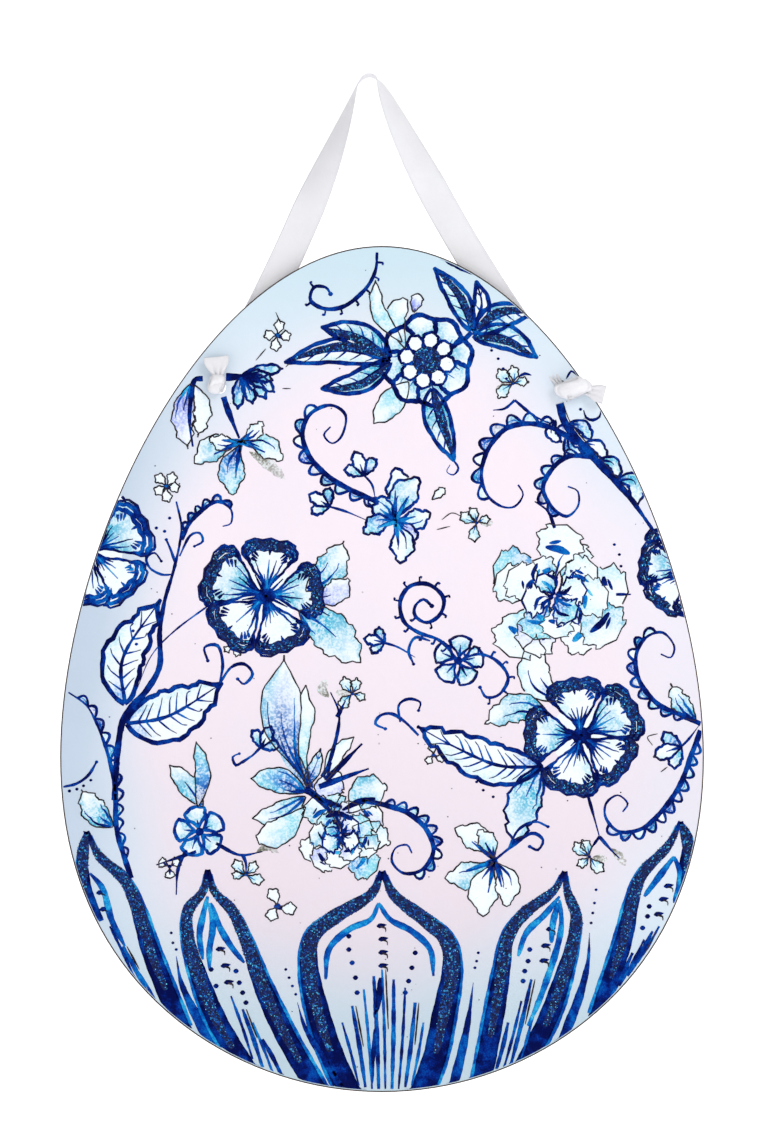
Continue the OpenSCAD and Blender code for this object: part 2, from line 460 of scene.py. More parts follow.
@dataclass(frozen=True)
class GlitterBed:
    """Dark blue glue bed under the flakes, full of fine glitter dust whose brightest cells are painted
    glints.
    """

    def build(self, fx: Effects) -> bpy.types.Material:
        """Return the material."""
        s = Shader("glitter_bed")
        at = s.place()
        cell = s.node("ShaderNodeTexVoronoi", in_0=at)
        cell.inputs["Scale"].default_value = 900.0
        pick = s.node("ShaderNodeSeparateColor", in_0=cell.outputs["Color"])
        # Glitter dust colours from navy to blue; the brightest teal cells are painted glints.
        dust_and_glints = s.ramp(pick.outputs[0], [
            (0.0, (0.001, 0.002, 0.018)), (0.55, (0.001, 0.006, 0.055)), (0.78, (0.002, 0.022, 0.20)),
            (0.92, (0.006, 0.10, 0.44)), (1.0, (0.06, 0.45, 0.70))])
        load = s.group(fx.mottle, Vector=at, Patch_Scale=70.0, Grain_Scale=700.0, Grain=0.3)
        s.feed(s.bsdf.inputs["Base Color"],
               s.mixed(s.ranged(load.outputs[0], 0.2, 0.9, 0.25, 0.0), dust_and_glints, (0.001, 0.016, 0.17)))
        s.feed(s.bsdf.inputs["Roughness"], s.ranged(pick.outputs[1], 0, 1, 0.25, 0.55))
        s.bsdf.inputs["Specular IOR Level"].default_value = 0.2
        s.feed(s.bsdf.inputs["Metallic"], s.ranged(pick.outputs[2], 0.5, 0.9, 0.0, 0.5))
        s.bump(pick.outputs[2], 0.00012)
        return s.material


@dataclass(frozen=True)
class GlitterFlake:
    """Foil flakes from near black through blue, with a few teal flakes as painted glints."""

    def build(self, fx: Effects) -> bpy.types.Material:
        """Return the material."""
        s = Shader("glitter_flake")
        tone = s.attribute("flake_tone")
        # The teal top of this ramp, given to a few flakes, is a painted glint.
        stops = [(0.0, (0.001, 0.003, 0.020)), (0.52, (0.001, 0.006, 0.060)), (0.72, (0.002, 0.022, 0.20)),
                 (0.86, (0.004, 0.10, 0.52)), (0.95, (0.012, 0.34, 0.78)), (1.0, (0.20, 0.78, 0.90))]
        s.coat(s.ramp(tone, stops), s.ranged(tone, 0, 1, 0.32, 0.22), 0.2)
        s.feed(s.bsdf.inputs["Metallic"], s.ranged(tone, 0.5, 0.95, 0.1, 0.7))
        grain = s.group(fx.mottle, Vector=s.place(), Patch_Scale=600.0, Grain_Scale=4000.0, Grain=0.5)
        s.bump(grain.outputs[0], 0.00004)
        return s.material


@dataclass(frozen=True)
class CutBoard:
    """Pressed wood sheet: tan fibres on the back, scorched brown along the cut edge."""

    tan: Colour = (0.43, 0.27, 0.145)
    fleck: Colour = (0.29, 0.165, 0.08)
    char: Colour = (0.030, 0.014, 0.011)

    def build(self, fx: Effects) -> bpy.types.Material:
        """Return the material."""
        s = Shader("cut_wood_sheet")
        at = s.place()
        fibre = s.node("ShaderNodeMapping", in_0=at)
        fibre.inputs["Scale"].default_value = (1.0, 1.0, 0.28)
        strands = s.noise(620, 5, fibre.outputs[0], 0.7)
        cloud = s.noise(22, 3, at)
        base = s.mixed(s.ranged(strands, 0.36, 0.66), self.fleck, self.tan)
        base = s.mixed(s.ranged(cloud, 0.3, 0.75, 0.0, 0.28), base, (0.56, 0.38, 0.22))
        egg = s.group(fx.egg, Vector=at)
        wander = s.maths("MULTIPLY", s.maths("SUBTRACT", s.noise(48, 3, at), 0.5), 0.03)
        scorch = s.ranged(s.maths("ADD", egg.outputs[0], wander), 0.962, 1.0)
        split = s.node("ShaderNodeSeparateXYZ", in_0=s.node("ShaderNodeTexCoord").outputs["Normal"])
        edge = s.ranged(s.maths("ABSOLUTE", split.outputs[1]), 0.75, 0.4)
        front = s.ranged(split.outputs[1], -0.4, -0.8)
        cut = s.maths("MAXIMUM", edge, front)
        cut = s.maths("MULTIPLY", cut, s.ranged(s.noise(210, 3, at), 0.2, 0.55, 0.82, 1.0))
        base = s.mixed(s.maths("MAXIMUM", s.maths("MULTIPLY", scorch, 0.85), cut), base, self.char)
        s.coat(base, s.ranged(strands, 0.3, 0.7, 0.62, 0.82), 0.3)
        s.bump(strands, 0.0002)
        return s.material


@dataclass(frozen=True)
class SatinRibbon:
    """White satin: long floats along the ribbon, fine cross threads and a woven selvedge."""

    white: Colour = (0.86, 0.86, 0.89)
    shade: Colour = (0.70, 0.69, 0.76)

    def build(self, fx: Effects) -> bpy.types.Material:
        """Return the material."""
        s = Shader("white_satin_ribbon")
        uv = s.node("ShaderNodeUVMap", uv_map="ribbon_uv").outputs[0]
        split = s.node("ShaderNodeSeparateXYZ", in_0=uv)
        across, along = split.outputs[0], split.outputs[1]
        warp = s.maths("SINE", s.maths("MULTIPLY", across, 2 * math.pi / 0.00034))
        weft = s.maths("SINE", s.maths("MULTIPLY", along, 2 * math.pi / 0.00048))
        pulled = s.node("ShaderNodeMapping", in_0=uv)
        pulled.inputs["Scale"].default_value = (1.0, 0.05, 1.0)
        floats = s.noise(2600, 2, pulled.outputs[0])
        rim = s.ranged(s.maths("ABSOLUTE", s.maths("SUBTRACT", across, 0.0095)), 0.0078, 0.0084)
        ply = s.maths("ADD", s.maths("MULTIPLY", warp, 0.5), s.maths("MULTIPLY", weft, 0.22))
        height = s.maths("ADD", ply, s.maths("MULTIPLY", floats, 1.2))
        height = s.maths("ADD", height, s.maths("MULTIPLY", rim, 1.6))
        load = s.group(fx.mottle, Vector=s.place(), Patch_Scale=45.0, Grain_Scale=500.0, Grain=0.3)
        base = s.mixed(s.ranged(load.outputs[0], 0.1, 1.0, 0.0, 0.22), self.white, self.shade)
        base = s.mixed(s.ranged(ply, -0.6, 0.6, 0.10, 0.0), base, self.shade)
        s.coat(s.mixed(s.maths("MULTIPLY", rim, 0.25), base, self.shade),
               s.ranged(floats, 0.3, 0.7, 0.36, 0.52), 0.45)
        s.bsdf.inputs["Sheen Weight"].default_value = 0.25
        s.bsdf.inputs["Sheen Roughness"].default_value = 0.4
        s.bump(height, 0.00006)
        return s.material


# ---------------------------------------------------------------- lines and washes

class Dye(Enum):
    """The colours that washes are mixed from."""

    WHITE = (0.86, 0.92, 0.97)
    PALE = (0.38, 0.76, 0.86)
    AQUA = (0.06, 0.52, 0.72)
    AZURE = (0.02, 0.27, 0.74)
    BRIGHT = (0.004, 0.09, 0.58)
    DEEP = (0.001, 0.018, 0.28)
    LILAC = (0.33, 0.40, 0.86)
    OLIVE = (0.25, 0.25, 0.21)
    GREY = (0.62, 0.60, 0.62)


class Pot(Enum):
    """What a line is drawn with."""

    BLUE = "blue_brush_strokes"
    INK = "pen_lines"
    GLITTER = "glitter_bands"


class Ends(Enum):
    """How a line's width runs out at its ends."""

    ROUND = "full width to both ends"
    FINE = "thin at both ends"
    SWELL = "thin at the start"
    DYING = "thin at the end"
    HOOK = "a little thinner at both ends"
    WISP = "a point at the start, widest low down"

    def share(self, t: float) -> float:
        """Return the share of the full width at t, from 0 to 1 along the line."""
        if self is Ends.FINE:
            return 0.35 + 0.65 * max(0.0, math.sin(math.pi * t)) ** 0.6
        if self is Ends.SWELL:
            return 0.28 + 0.72 * ease(0, 0.7, t)
        if self is Ends.DYING:
            return 0.34 + 0.66 * ease(1, 0.3, t)
        if self is Ends.HOOK:
            return 0.62 + 0.38 * math.sin(math.pi * t)
        if self is Ends.WISP:
            return 0.06 + 0.94 * math.sin(0.74 * math.pi * t) ** 1.2
        return 1.0


@dataclass
class Stroke:
    """One line: its points, its half-width at each, and how light its paint is."""

    run: list[Point]
    half: list[float]
    tone: list[float]


@dataclass
class Patch:
    """A filled shape: rows of points from one edge to the other, with a colour at each."""

    rows: list[list[Point]]
    colours: list[list[Colour]]
    lift: float

    def rim(self) -> list[tuple[int, int]]:
        """Return the row and column of each point round the edge, in order."""
        n, m = len(self.rows), len(self.rows[0])
        return ([(i, 0) for i in range(n)] + [(n - 1, j) for j in range(1, m)]
                + [(i, m - 1) for i in range(n - 2, -1, -1)] + [(0, j) for j in range(m - 2, 0, -1)])


def covers(shape: Sequence[Point], p: Point) -> bool:
    """Return whether a closed outline holds the point."""
    inside = False
    for (x0, y0), (x1, y1) in zip(shape, [*shape[1:], shape[0]]):
        if (y0 > p[1]) != (y1 > p[1]) and p[0] < x0 + (p[1] - y0) / (y1 - y0) * (x1 - x0):
            inside = not inside
    return inside


def blended(a: Dye | Colour, b: Dye | Colour, t: float) -> Colour:
    """Return the colour a share t of the way from a to b."""
    a = a.value if isinstance(a, Dye) else a
    b = b.value if isinstance(b, Dye) else b
    t = max(0.0, min(1.0, t))
    return lerp(a[0], b[0], t), lerp(a[1], b[1], t), lerp(a[2], b[2], t)


@dataclass(frozen=True)
class Tint:
    """How a wash runs: from the root to the tip, with one side laid on heavier."""

    root: Dye = Dye.BRIGHT
    heart: Dye = Dye.PALE
    tip: Dye = Dye.WHITE
    edge: Dye = Dye.AQUA
    lean: float = 0.6
    root_reach: float = 0.35

    def at(self, t: float, s: float) -> Colour:
        """Return the colour at t from root to tip and s from -1 to 1 across."""
        body = blended(self.heart, self.tip, ease(0.2, 0.95, t))
        body = blended(body, self.edge, ease(0.1, 1.0, s * (1 if self.lean > 0 else -1)) * abs(self.lean))
        return blended(body, self.root, ease(self.root_reach, 0.0, t + 0.12 * abs(s)) * 0.9)


ICE = Tint(Dye.AZURE, Dye.WHITE, Dye.WHITE, Dye.PALE, 0.5, 0.3)
SEA = Tint(Dye.BRIGHT, Dye.AQUA, Dye.WHITE, Dye.AQUA, 0.7, 0.35)
MINT = Tint(Dye.AQUA, Dye.PALE, Dye.WHITE, Dye.AQUA, 0.4, 0.25)
VIOLET = Tint(Dye.DEEP, Dye.LILAC, Dye.WHITE, Dye.LILAC, -0.6, 0.5)
SKY = Tint(Dye.DEEP, Dye.AZURE, Dye.PALE, Dye.AQUA, 0.6, 0.6)
BARE = Tint(Dye.LILAC, Dye.WHITE, Dye.WHITE, Dye.PALE, 0.2, 0.2)
SHADOW = Tint(Dye.OLIVE, Dye.OLIVE, Dye.GREY, Dye.GREY, 0.3, 0.5)


@dataclass(frozen=True)
class Line:
    """The line that goes round a shape."""

    width: float = 1.0
    tone: float = 0.2
    pot: Pot = Pot.INK


THIN = Line()
BOLD = Line(2.9, 0.30, Pot.BLUE)
DARK = Line(1.9, 0.14, Pot.BLUE)


@dataclass
class Blade:
    """A petal or leaf: a spine with a width along it, and an edge that may be frilled."""

    spine: Sequence[Point]
    width: float
    widest: float = 0.5
    full: float = 0.8
    cut: float = 1.0
    bulge: float = 0.0
    frill: float = 0.6
    waves: float = 2.8
    tint: Tint | None = ICE
    line: Line | None = THIN
    streaks: int = 0
    rows: list[list[Point]] = field(default_factory=list)

    def __post_init__(self) -> None:
        """Work out the rows of points from root to tip."""
        span = sum(math.dist(a, b) for a, b in zip(self.spine, self.spine[1:]))
        run = run_through(self.spine, max(0.5, span / 26))
        bend = math.log(0.5) / math.log(self.widest)
        n, across = len(run) - 1, 6
        beat = self.spine[0][0] * 1.7 + self.spine[-1][1] * 2.3
        for i, p in enumerate(run):
            t = i / n
            wide = math.sin(math.pi * min(1.0, t * self.cut) ** bend)
            half = max(0.12, self.width / 2 * max(0.0, wide) ** self.full)
            ripple = (math.sin(self.waves * math.tau * t)
                      + 0.5 * math.sin(self.waves * 2.3 * math.tau * t + beat))
            half += self.frill * ripple * t * min(1.0, half)
            side = sideways(run, i)
            ahead = Vector((side.y, -side.x))
            row = []
            for k in range(across + 1):
                s = 1 - 2 * k / across
                push = self.bulge * (1 - s * s) * t ** 3
                push += (self.frill * math.cos(self.waves * math.pi * s) * t ** 6
                         * ease(0.02, 0.2, 1 - self.cut))
                row.append((p[0] + side.x * half * s + ahead.x * push,
                            p[1] + side.y * half * s + ahead.y * push))
            self.rows.append(row)

    def outline(self) -> list[Point]:
        """Return the edge from the root round the tip and back to the root."""
        return ([r[0] for r in self.rows] + self.rows[-1][1:]
                + [r[-1] for r in reversed(self.rows[:-1])])


@dataclass
class Easel:
    """Everything that is painted, gathered before it is made into meshes."""

    strokes: dict[Pot, list[Stroke]] = field(default_factory=lambda: {pot: [] for pot in Pot})
    washes: list[Patch] = field(default_factory=list)
    sparkle: list[Patch] = field(default_factory=list)
    dice: random.Random = field(default_factory=lambda: random.Random(11))
    turns: int = 0

    def draw(self, points: Sequence[Point], width: float, tone: float = 0.3, pot: Pot = Pot.BLUE,
             ends: Ends = Ends.FINE, smooth: bool = True, under: Sequence[Sequence[Point]] = ()) -> None:
        """Draw one line.

        Args:
            points: what it passes through, in millimetres.
            width: its full width.
            tone: 0 for the darkest paint to 1 for the lightest.
            pot: what it is drawn with.
            ends: how its width runs out.
            smooth: whether to curve through the points.
            under: closed outlines that hide it.
        """
        run = run_through(points, max(0.9, min(2.0, width * 1.1))) if smooth else list(points)
        beat, drift = self.dice.uniform(0, 6.28), self.dice.uniform(-0.03, 0.03)
        place, piece = 0.0, Stroke([], [], [])
        total = sum(math.dist(a, b) for a, b in zip(run, run[1:])) or 1.0
        for i, p in enumerate(run):
            place += math.dist(p, run[i - 1]) if i else 0.0
            if egg_radius(p) > 0.992 + 0.004 * width or any(covers(shape, p) for shape in under):
                self._keep(pot, piece)
                piece = Stroke([], [], [])
                continue
            wobble = 0.14 * math.sin(place * 0.42 + beat) + 0.08 * math.sin(place * 1.3 + 2 * beat)
            half = width / 2 * ends.share(min(1.0, place / total))
            piece.run.append(p)
            piece.half.append(max(0.2, half + wobble * min(1.0, half)))
            piece.tone.append(tone + drift + 0.05 * math.sin(place * 0.21 + beat))
        self._keep(pot, piece)

    def _lift(self, level: int) -> float:
        """Return the height of a wash that lies over some others, never level with the last."""
        return 0.02 + 0.009 * level + 0.0012 * (self.turns % 7)

    def _keep(self, pot: Pot, piece: Stroke) -> None:
        """Keep a piece of a line if there is enough of it."""
        if len(piece.run) > 1:
            self.strokes[pot].append(piece)

    def dot(self, at: Point, size: float, tone: float = 0.05, pot: Pot = Pot.BLUE,
            pull: Point = (0.0, 0.0)) -> None:
        """Put down a dot, pulled out to a dash if asked."""
        if egg_radius(at) > 0.985:
            return
        reach, pulled = size / 2, 1.0 if pull == (0.0, 0.0) else 0.35
        run, half = [], []
        for k in range(5):
            s = k / 2 - 1
            run.append((at[0] + reach * s + pull[0] * k / 4, at[1] + pull[1] * k / 4))
            half.append(reach * math.sqrt(1 - 0.95 * s * s) * lerp(1.0, pulled, k / 4))
        self._keep(pot, Stroke(run, half, [tone] * 5))

    def fill(self, blade: Blade, level: int = 0) -> None:
        """Lay a blade's wash."""
        n, m = len(blade.rows) - 1, len(blade.rows[0]) - 1
        if blade.tint is None:
            return
        beat = self.dice.uniform(0, 6.28)
        colours = []
        for i in range(n + 1):
            colours.append([])
            for j in range(m + 1):
                t, s = i / n, 1 - 2 * j / m
                wave = 0.09 * math.sin(5 * t + 4 * s + beat)
                colours[-1].append(blade.tint.at(max(0.0, min(1.0, t + wave)), s))
        rows = [[held_inside(p) for p in row] for row in blade.rows]
        self.washes.append(Patch(rows, colours, self._lift(level)))

    def between(self, a: Sequence[Point], b: Sequence[Point], ink: Dye, other: Dye,
                level: int = 0, glitter: bool = False, across: int = 3) -> None:
        """Fill the room between two lines of as many points.

        Args:
            a: the first line.
            b: the second line.
            ink: the colour along the first.
            other: the colour along the second.
            level: how many washes lie under it.
            glitter: whether it is a bed for glitter.
            across: how many steps it takes from one line to the other.
        """
        rows, colours = [], []
        for p, q in zip(a, b):
            rows.append([held_inside((lerp(p[0], q[0], k / across), lerp(p[1], q[1], k / across)))
                         for k in range(across + 1)])
            colours.append([blended(ink, other, k / across) for k in range(across + 1)])
        (self.sparkle if glitter else self.washes).append(
            Patch(rows, colours, self._lift(level)))

    def disc(self, centre: Point, reach: float, dye: Dye, glitter: bool = False) -> list[Point]:
        """Fill a disc and return its edge."""
        edge = [polar(centre, a, reach) for a in range(0, 360, 12)]
        half = len(edge) // 2
        self.between(edge[:half + 1], [edge[0], *reversed(edge[half:])], dye, dye, 0, glitter, 8)
        return edge

    def shapes(self, blades: Sequence[Blade], under: Sequence[Sequence[Point]] = ()) -> None:
        """Paint blades in order, each one hiding the lines of those before it."""
        edges = [b.outline() for b in blades]
        self.turns += 1
        for k, blade in enumerate(blades):
            self.fill(blade, k)
            over = [*edges[k + 1:], *under]
            if blade.line:
                self.draw(edges[k], blade.line.width, blade.line.tone, blade.line.pot,
                          Ends.ROUND, False, over)
            if blade.line and blade.line.pot is Pot.BLUE:
                n = len(edges[k])
                slip = self.dice.uniform(-0.5, 0.5)
                loose = [(x + slip, y - slip * 0.6) for x, y in edges[k][n // 6:n * 3 // 4]]
                self.draw(loose, 0.6, 0.2, Pot.INK, Ends.FINE, False, over)
            for j in range(blade.streaks):
                lane = (j + 0.5) / blade.streaks * 6
                last = int(len(blade.rows) * self.dice.uniform(0.35, 0.78))
                run = [r[round(lane)] for r in blade.rows[1:max(4, last)]]
                self.draw(run, 1.9, 0.22 + 0.16 * (j % 3), Pot.BLUE, Ends.DYING, False, over)


def fan(centre: Point, turn: float, near: float, far: float, sway: float = 0.0) -> list[Point]:
    """Return a petal's spine out from a centre, its tip swayed to one side by some degrees."""
    return [polar(centre, turn, near), polar(centre, turn + sway * 0.35, (near + far) / 2),
            polar(centre, turn + sway, far)]


# ---------------------------------------------------------------- motifs

@dataclass
class Daisy:
    """Round flower of two rings of petals about a dark glitter middle."""

    centre: Point
    reach: float
    petals: int = 8
    turn: float = 12.0

    def paint(self, easel: Easel) -> None:
        """Paint the outer ring, then the inner one, then the middle."""
        step, r = 360 / self.petals, self.reach
        core = easel.disc(self.centre, r * 0.30, Dye.DEEP, True)
        outer = [Blade(fan(self.centre, self.turn + step * k, r * 0.24, r * 0.98), r * 0.72, 0.62, 0.62,
                       0.93, r * 0.05, tint=Tint(Dye.BRIGHT, Dye.AQUA, Dye.WHITE, Dye.AQUA, 0.7, 0.45),
                       line=Line(r * 0.125, 0.22, Pot.BLUE), streaks=3) for k in range(self.petals)]
        inner = [Blade(fan(self.centre, self.turn + step * (k + 0.5), r * 0.22, r * 0.64), r * 0.36, 0.55,
                       0.8, 0.98, tint=Tint(Dye.AZURE, Dye.WHITE, Dye.WHITE, Dye.WHITE, 0.1, 0.25),
                       line=Line(r * 0.085, 0.10, Pot.BLUE)) for k in range(self.petals)]
        easel.shapes([*outer, *inner], [core])
        easel.draw([*core, core[0]], 1.4, 0.08, Pot.BLUE, Ends.ROUND, False)
        easel.draw([*core, core[0]], 0.7, 0.9, Pot.INK, Ends.ROUND, False)


@dataclass
class Scroll:
    """Curling stem, with a crest of scalloped lobes along its outer side where one is asked for."""

    points: Sequence[Point]
    width: float = 1.8
    tone: float = 0.26
    crest: float = 0.0
    lobes: int = 0
    start: float = 0.0
    stop: float = 0.6
    beads: int = 0
    ticks: int = 0

    def paint(self, easel: Easel) -> None:
        """Draw the crest, the stem over it, and any beads beside it."""
        run = run_through(self.points, 1.0)
        n = len(run) - 1
        bends = sum(sideways(run, i).cross(sideways(run, i + 1)) for i in range(n))
        outer = -1.0 if bends > 0 else 1.0
        for k in range(self.lobes):
            a = int(n * lerp(self.start, self.stop, k / self.lobes))
            b = max(a + 3, int(n * lerp(self.start, self.stop, (k + 1) / self.lobes)))
            b = min(n, b)
            swell_by = self.crest * (0.92 + 0.42 * math.sin(math.pi * (k + 0.5) / self.lobes))
            foot, top = run[a:b + 1], []
            for j in range(a, b + 1):
                h = max(0.0, math.sin(math.pi * ((j - a) / (b - a)) ** 1.5)) ** 0.7 * swell_by * outer
                side = sideways(run, j)
                top.append((run[j][0] + side.x * h, run[j][1] + side.y * h))
            tone = (Dye.BRIGHT, Dye.WHITE, Dye.AQUA, Dye.PALE, Dye.DEEP)[k % 5]
            easel.between(foot, top, Dye.BRIGHT if k % 2 else Dye.WHITE, tone, k % 3)
            easel.draw(top, 1.9, 0.16, Pot.BLUE, Ends.ROUND, False)
            if k % 3 == 0:
                easel.draw(top[len(top) // 3:], 0.6, 0.2, Pot.INK, Ends.FINE, False)
            if k % 2:
                inner = [(lerp(p[0], q[0], 0.5), lerp(p[1], q[1], 0.5)) for p, q in zip(foot, top)]
                easel.draw(inner[1:-1], 0.8, 0.7, Pot.BLUE, Ends.FINE, False)
        if self.crest:
            easel.draw(self.points, self.width * 1.5, self.tone, Pot.BLUE, Ends.DYING)
        else:
            easel.draw(self.points, self.width * 1.3, self.tone, Pot.BLUE, Ends.HOOK)
            easel.dot(run[-1], self.width * 1.35, self.tone)
        for k in range(self.ticks):
            j = int(n * lerp(0.08, 0.86, k / max(1, self.ticks - 1)))
            side, ahead = sideways(run, j) * outer, run[min(n, j + 2)]
            along = (ahead[0] - run[j][0], ahead[1] - run[j][1])
            tip = (run[j][0] + side.x * 3.6, run[j][1] + side.y * 3.6)
            easel.draw([run[j], tip, (tip[0] + along[0] * 0.7, tip[1] + along[1] * 0.7)], 1.5,
                       self.tone - 0.05,
                       Pot.BLUE, Ends.ROUND)
        for k in range(self.beads):
            j = int(n * lerp(0.12, 0.62, k / max(1, self.beads - 1)))
            side = sideways(run, j) * outer * (self.width * 0.6 + 2.2)
            easel.dot((run[j][0] + side.x, run[j][1] + side.y), 2.1 - 0.08 * k, 0.08)


@dataclass
class Leaf:
    """Pointed leaf with a midrib: one half glitter or hatched, the other a watery wash."""

    spine: Sequence[Point]
    width: float
    glitter: float = 1.0
    line: Line = BOLD
    hatch: int = 5
    tint: Tint = SEA
    frill: float = 0.35
    waves: float = 3.0

    def paint(self, easel: Easel) -> None:
        """Paint the two halves, the hatching, the outline and the midrib."""
        blade = Blade(self.spine, self.width, 0.42, 0.85, 1.0, 0.0, self.frill, self.waves, self.tint,
                      self.line)
        easel.turns += 1
        easel.fill(blade, 1)
        mid = [r[3] for r in blade.rows]
        if self.glitter:
            edge = [r[1 if self.glitter > 0 else -2] for r in blade.rows]
            easel.between(mid[1:-2], edge[1:-2], Dye.DEEP, Dye.DEEP, 3, True, 4)
        sides = {1.0: (-1,), -1.0: (0,)}.get(self.glitter, (0, -1))
        n = len(mid) - 1
        for k in range(self.hatch):
            i = int(n * lerp(0.12, 0.74, k / max(1, self.hatch - 1)))
            j, m = min(n, i + max(2, n // 7)), min(n, i + max(1, n // 12))
            for lane in sides:
                far = [r[lane] for r in blade.rows]
                tip = (lerp(mid[j][0], far[j][0], 0.74), lerp(mid[j][1], far[j][1], 0.74))
                knee = (lerp(mid[m][0], far[m][0], 0.55), lerp(mid[m][1], far[m][1], 0.55))
                easel.draw([mid[i], knee, tip], 1.3, 0.34, Pot.BLUE, Ends.DYING)
                easel.draw([knee, tip], 0.6, 0.2, Pot.INK, Ends.FINE)
        edge = blade.outline()
        easel.draw(edge, self.line.width, self.line.tone, self.line.pot, Ends.ROUND, False)
        easel.draw(mid, self.line.width * 0.8, 0.15, Pot.BLUE, Ends.DYING, False)
        cut = len(edge) // 3
        easel.draw(edge[cut:-cut // 2], 0.6, 0.4, Pot.INK, Ends.FINE, False)


@dataclass
class StarFlower:
    """Small flower of pointed petals with thick blue edges."""

    centre: Point
    reach: float
    petals: int = 5
    turn: float = 100.0
    line: Line = BOLD
    tint: Tint = ICE

    def paint(self, easel: Easel) -> None:
        """Paint the petals and the dotted middle."""
        r = self.reach
        easel.shapes([Blade(fan(self.centre, self.turn + 360 / self.petals * k, r * 0.16, r, 5), r * 0.84,
                            0.66, 0.8, 0.95, tint=self.tint, line=self.line, streaks=1)
                      for k in range(self.petals)])
        easel.dot(self.centre, r * 0.36, 0.1)
        easel.dot(self.centre, r * 0.12, 1.0)


@dataclass
class MintSprig:
    """Cluster of small watery leaves with pen edges on a stalk."""

    centre: Point
    reach: float
    turns: Sequence[float] = (150.0, 60.0, -20.0, 240.0)
    shadow: float | None = None

    def paint(self, easel: Easel) -> None:
        """Paint a grey-green shadow leaf, then the leaves."""
        if self.shadow is not None:
            easel.shapes([Blade(fan(self.centre, self.shadow, 2, self.reach * 0.95), self.reach * 0.4,
                                tint=SHADOW, line=None)])
        for k, turn in enumerate(self.turns):
            reach = self.reach * (1 - 0.13 * (k % 3))
            spine = fan(self.centre, turn, 0.8, reach, 14 if k % 2 else -14)
            easel.shapes([Blade(spine, reach * 0.58, 0.62, 0.85, 0.97, 0.6, 0.7, 3, tint=MINT)])
            easel.draw(fan(self.centre, turn, 0.5, reach * 0.6), 1.0, 0.5, Pot.BLUE, Ends.DYING)
        easel.dot(self.centre, 2.0, 0.3)


@dataclass
class Lily:
    """Open flower of long curling petals, each with its own tip and sway."""

    centre: Point
    tips: Sequence[Point]
    width: float = 0.42
    sways: Sequence[float] = (16.0, -14.0, 12.0, -18.0, 10.0)
    tints: Sequence[Tint] = (SEA, ICE, SKY)
    line: Line = THIN
    frill: float = 0.9

    def paint(self, easel: Easel) -> None:
        """Paint each petal from the root out, then the dark throat."""
        blades = []
        for k, tip in enumerate(self.tips):
            away = math.dist(self.centre, tip)
            turn = math.degrees(math.atan2(tip[1] - self.centre[1], tip[0] - self.centre[0]))
            sway = self.sways[k % len(self.sways)]
            spine = [polar(self.centre, turn - sway, away * 0.06),
                     polar(self.centre, turn - sway * 0.9, away * 0.5), tip]
            blades.append(Blade(spine, away * self.width * 1.12, 0.56, 1.0, 1.0, frill=self.frill, waves=3.4,
                                tint=self.tints[k % len(self.tints)], line=self.line, streaks=2))
        easel.shapes(blades)
        for k, tip in enumerate(self.tips):
            for reach, width, tone in ((0.58, 3.0, 0.42), (0.40, 2.6, 0.12)):
                spot = (lerp(self.centre[0], tip[0], reach), lerp(self.centre[1], tip[1], reach))
                easel.draw([self.centre, spot], width, tone + 0.1 * (k % 2), Pot.BLUE, Ends.DYING)
        easel.dot(self.centre, 2.2, 0.05)


@dataclass
class Bud:
    """Closed bud of three overlapping lobes on a curved stalk."""

    stalk: Sequence[Point]
    reach: float
    turn: float
    line: Line = DARK

    def paint(self, easel: Easel) -> None:
        """Draw the stalk and paint the lobes over its end."""
        foot = self.stalk[-1]
        easel.draw(self.stalk, 1.7, 0.22, Pot.BLUE, Ends.SWELL)
        easel.shapes([
            Blade(fan(foot, self.turn + 38, 0, self.reach * 0.8, 20), self.reach * 0.5, tint=SEA,
                  line=self.line),
            Blade(fan(foot, self.turn - 38, 0, self.reach * 0.8, -20), self.reach * 0.5, tint=SKY,
                  line=self.line),
            Blade(fan(foot, self.turn, 0, self.reach, 4), self.reach * 0.52, 0.55, tint=ICE, line=self.line,
                  streaks=1)])
        easel.dot(foot, 2.4, 0.1)


@dataclass
class TinyFlower:
    """Loose pen flower of three or four petals with a blue touch in the middle."""

    centre: Point
    reach: float
    turn: float = 90.0
    petals: int = 4

    def paint(self, easel: Easel) -> None:
        """Paint the petals and the touch of blue."""
        easel.shapes([Blade(fan(self.centre, self.turn + 360 / self.petals * k + 9 * (k % 2), 0.6,
                                self.reach * (1 - 0.16 * (k % 2)), 16),
                            self.reach * 0.66, 0.66, 0.8, 0.97, 0.6, 0.6, 3, tint=BARE)
                      for k in range(self.petals)])
        easel.dot(self.centre, self.reach * 0.4, 0.45)
        easel.dot((self.centre[0] + 1.6, self.centre[1] - 0.8), self.reach * 0.28, 0.1)


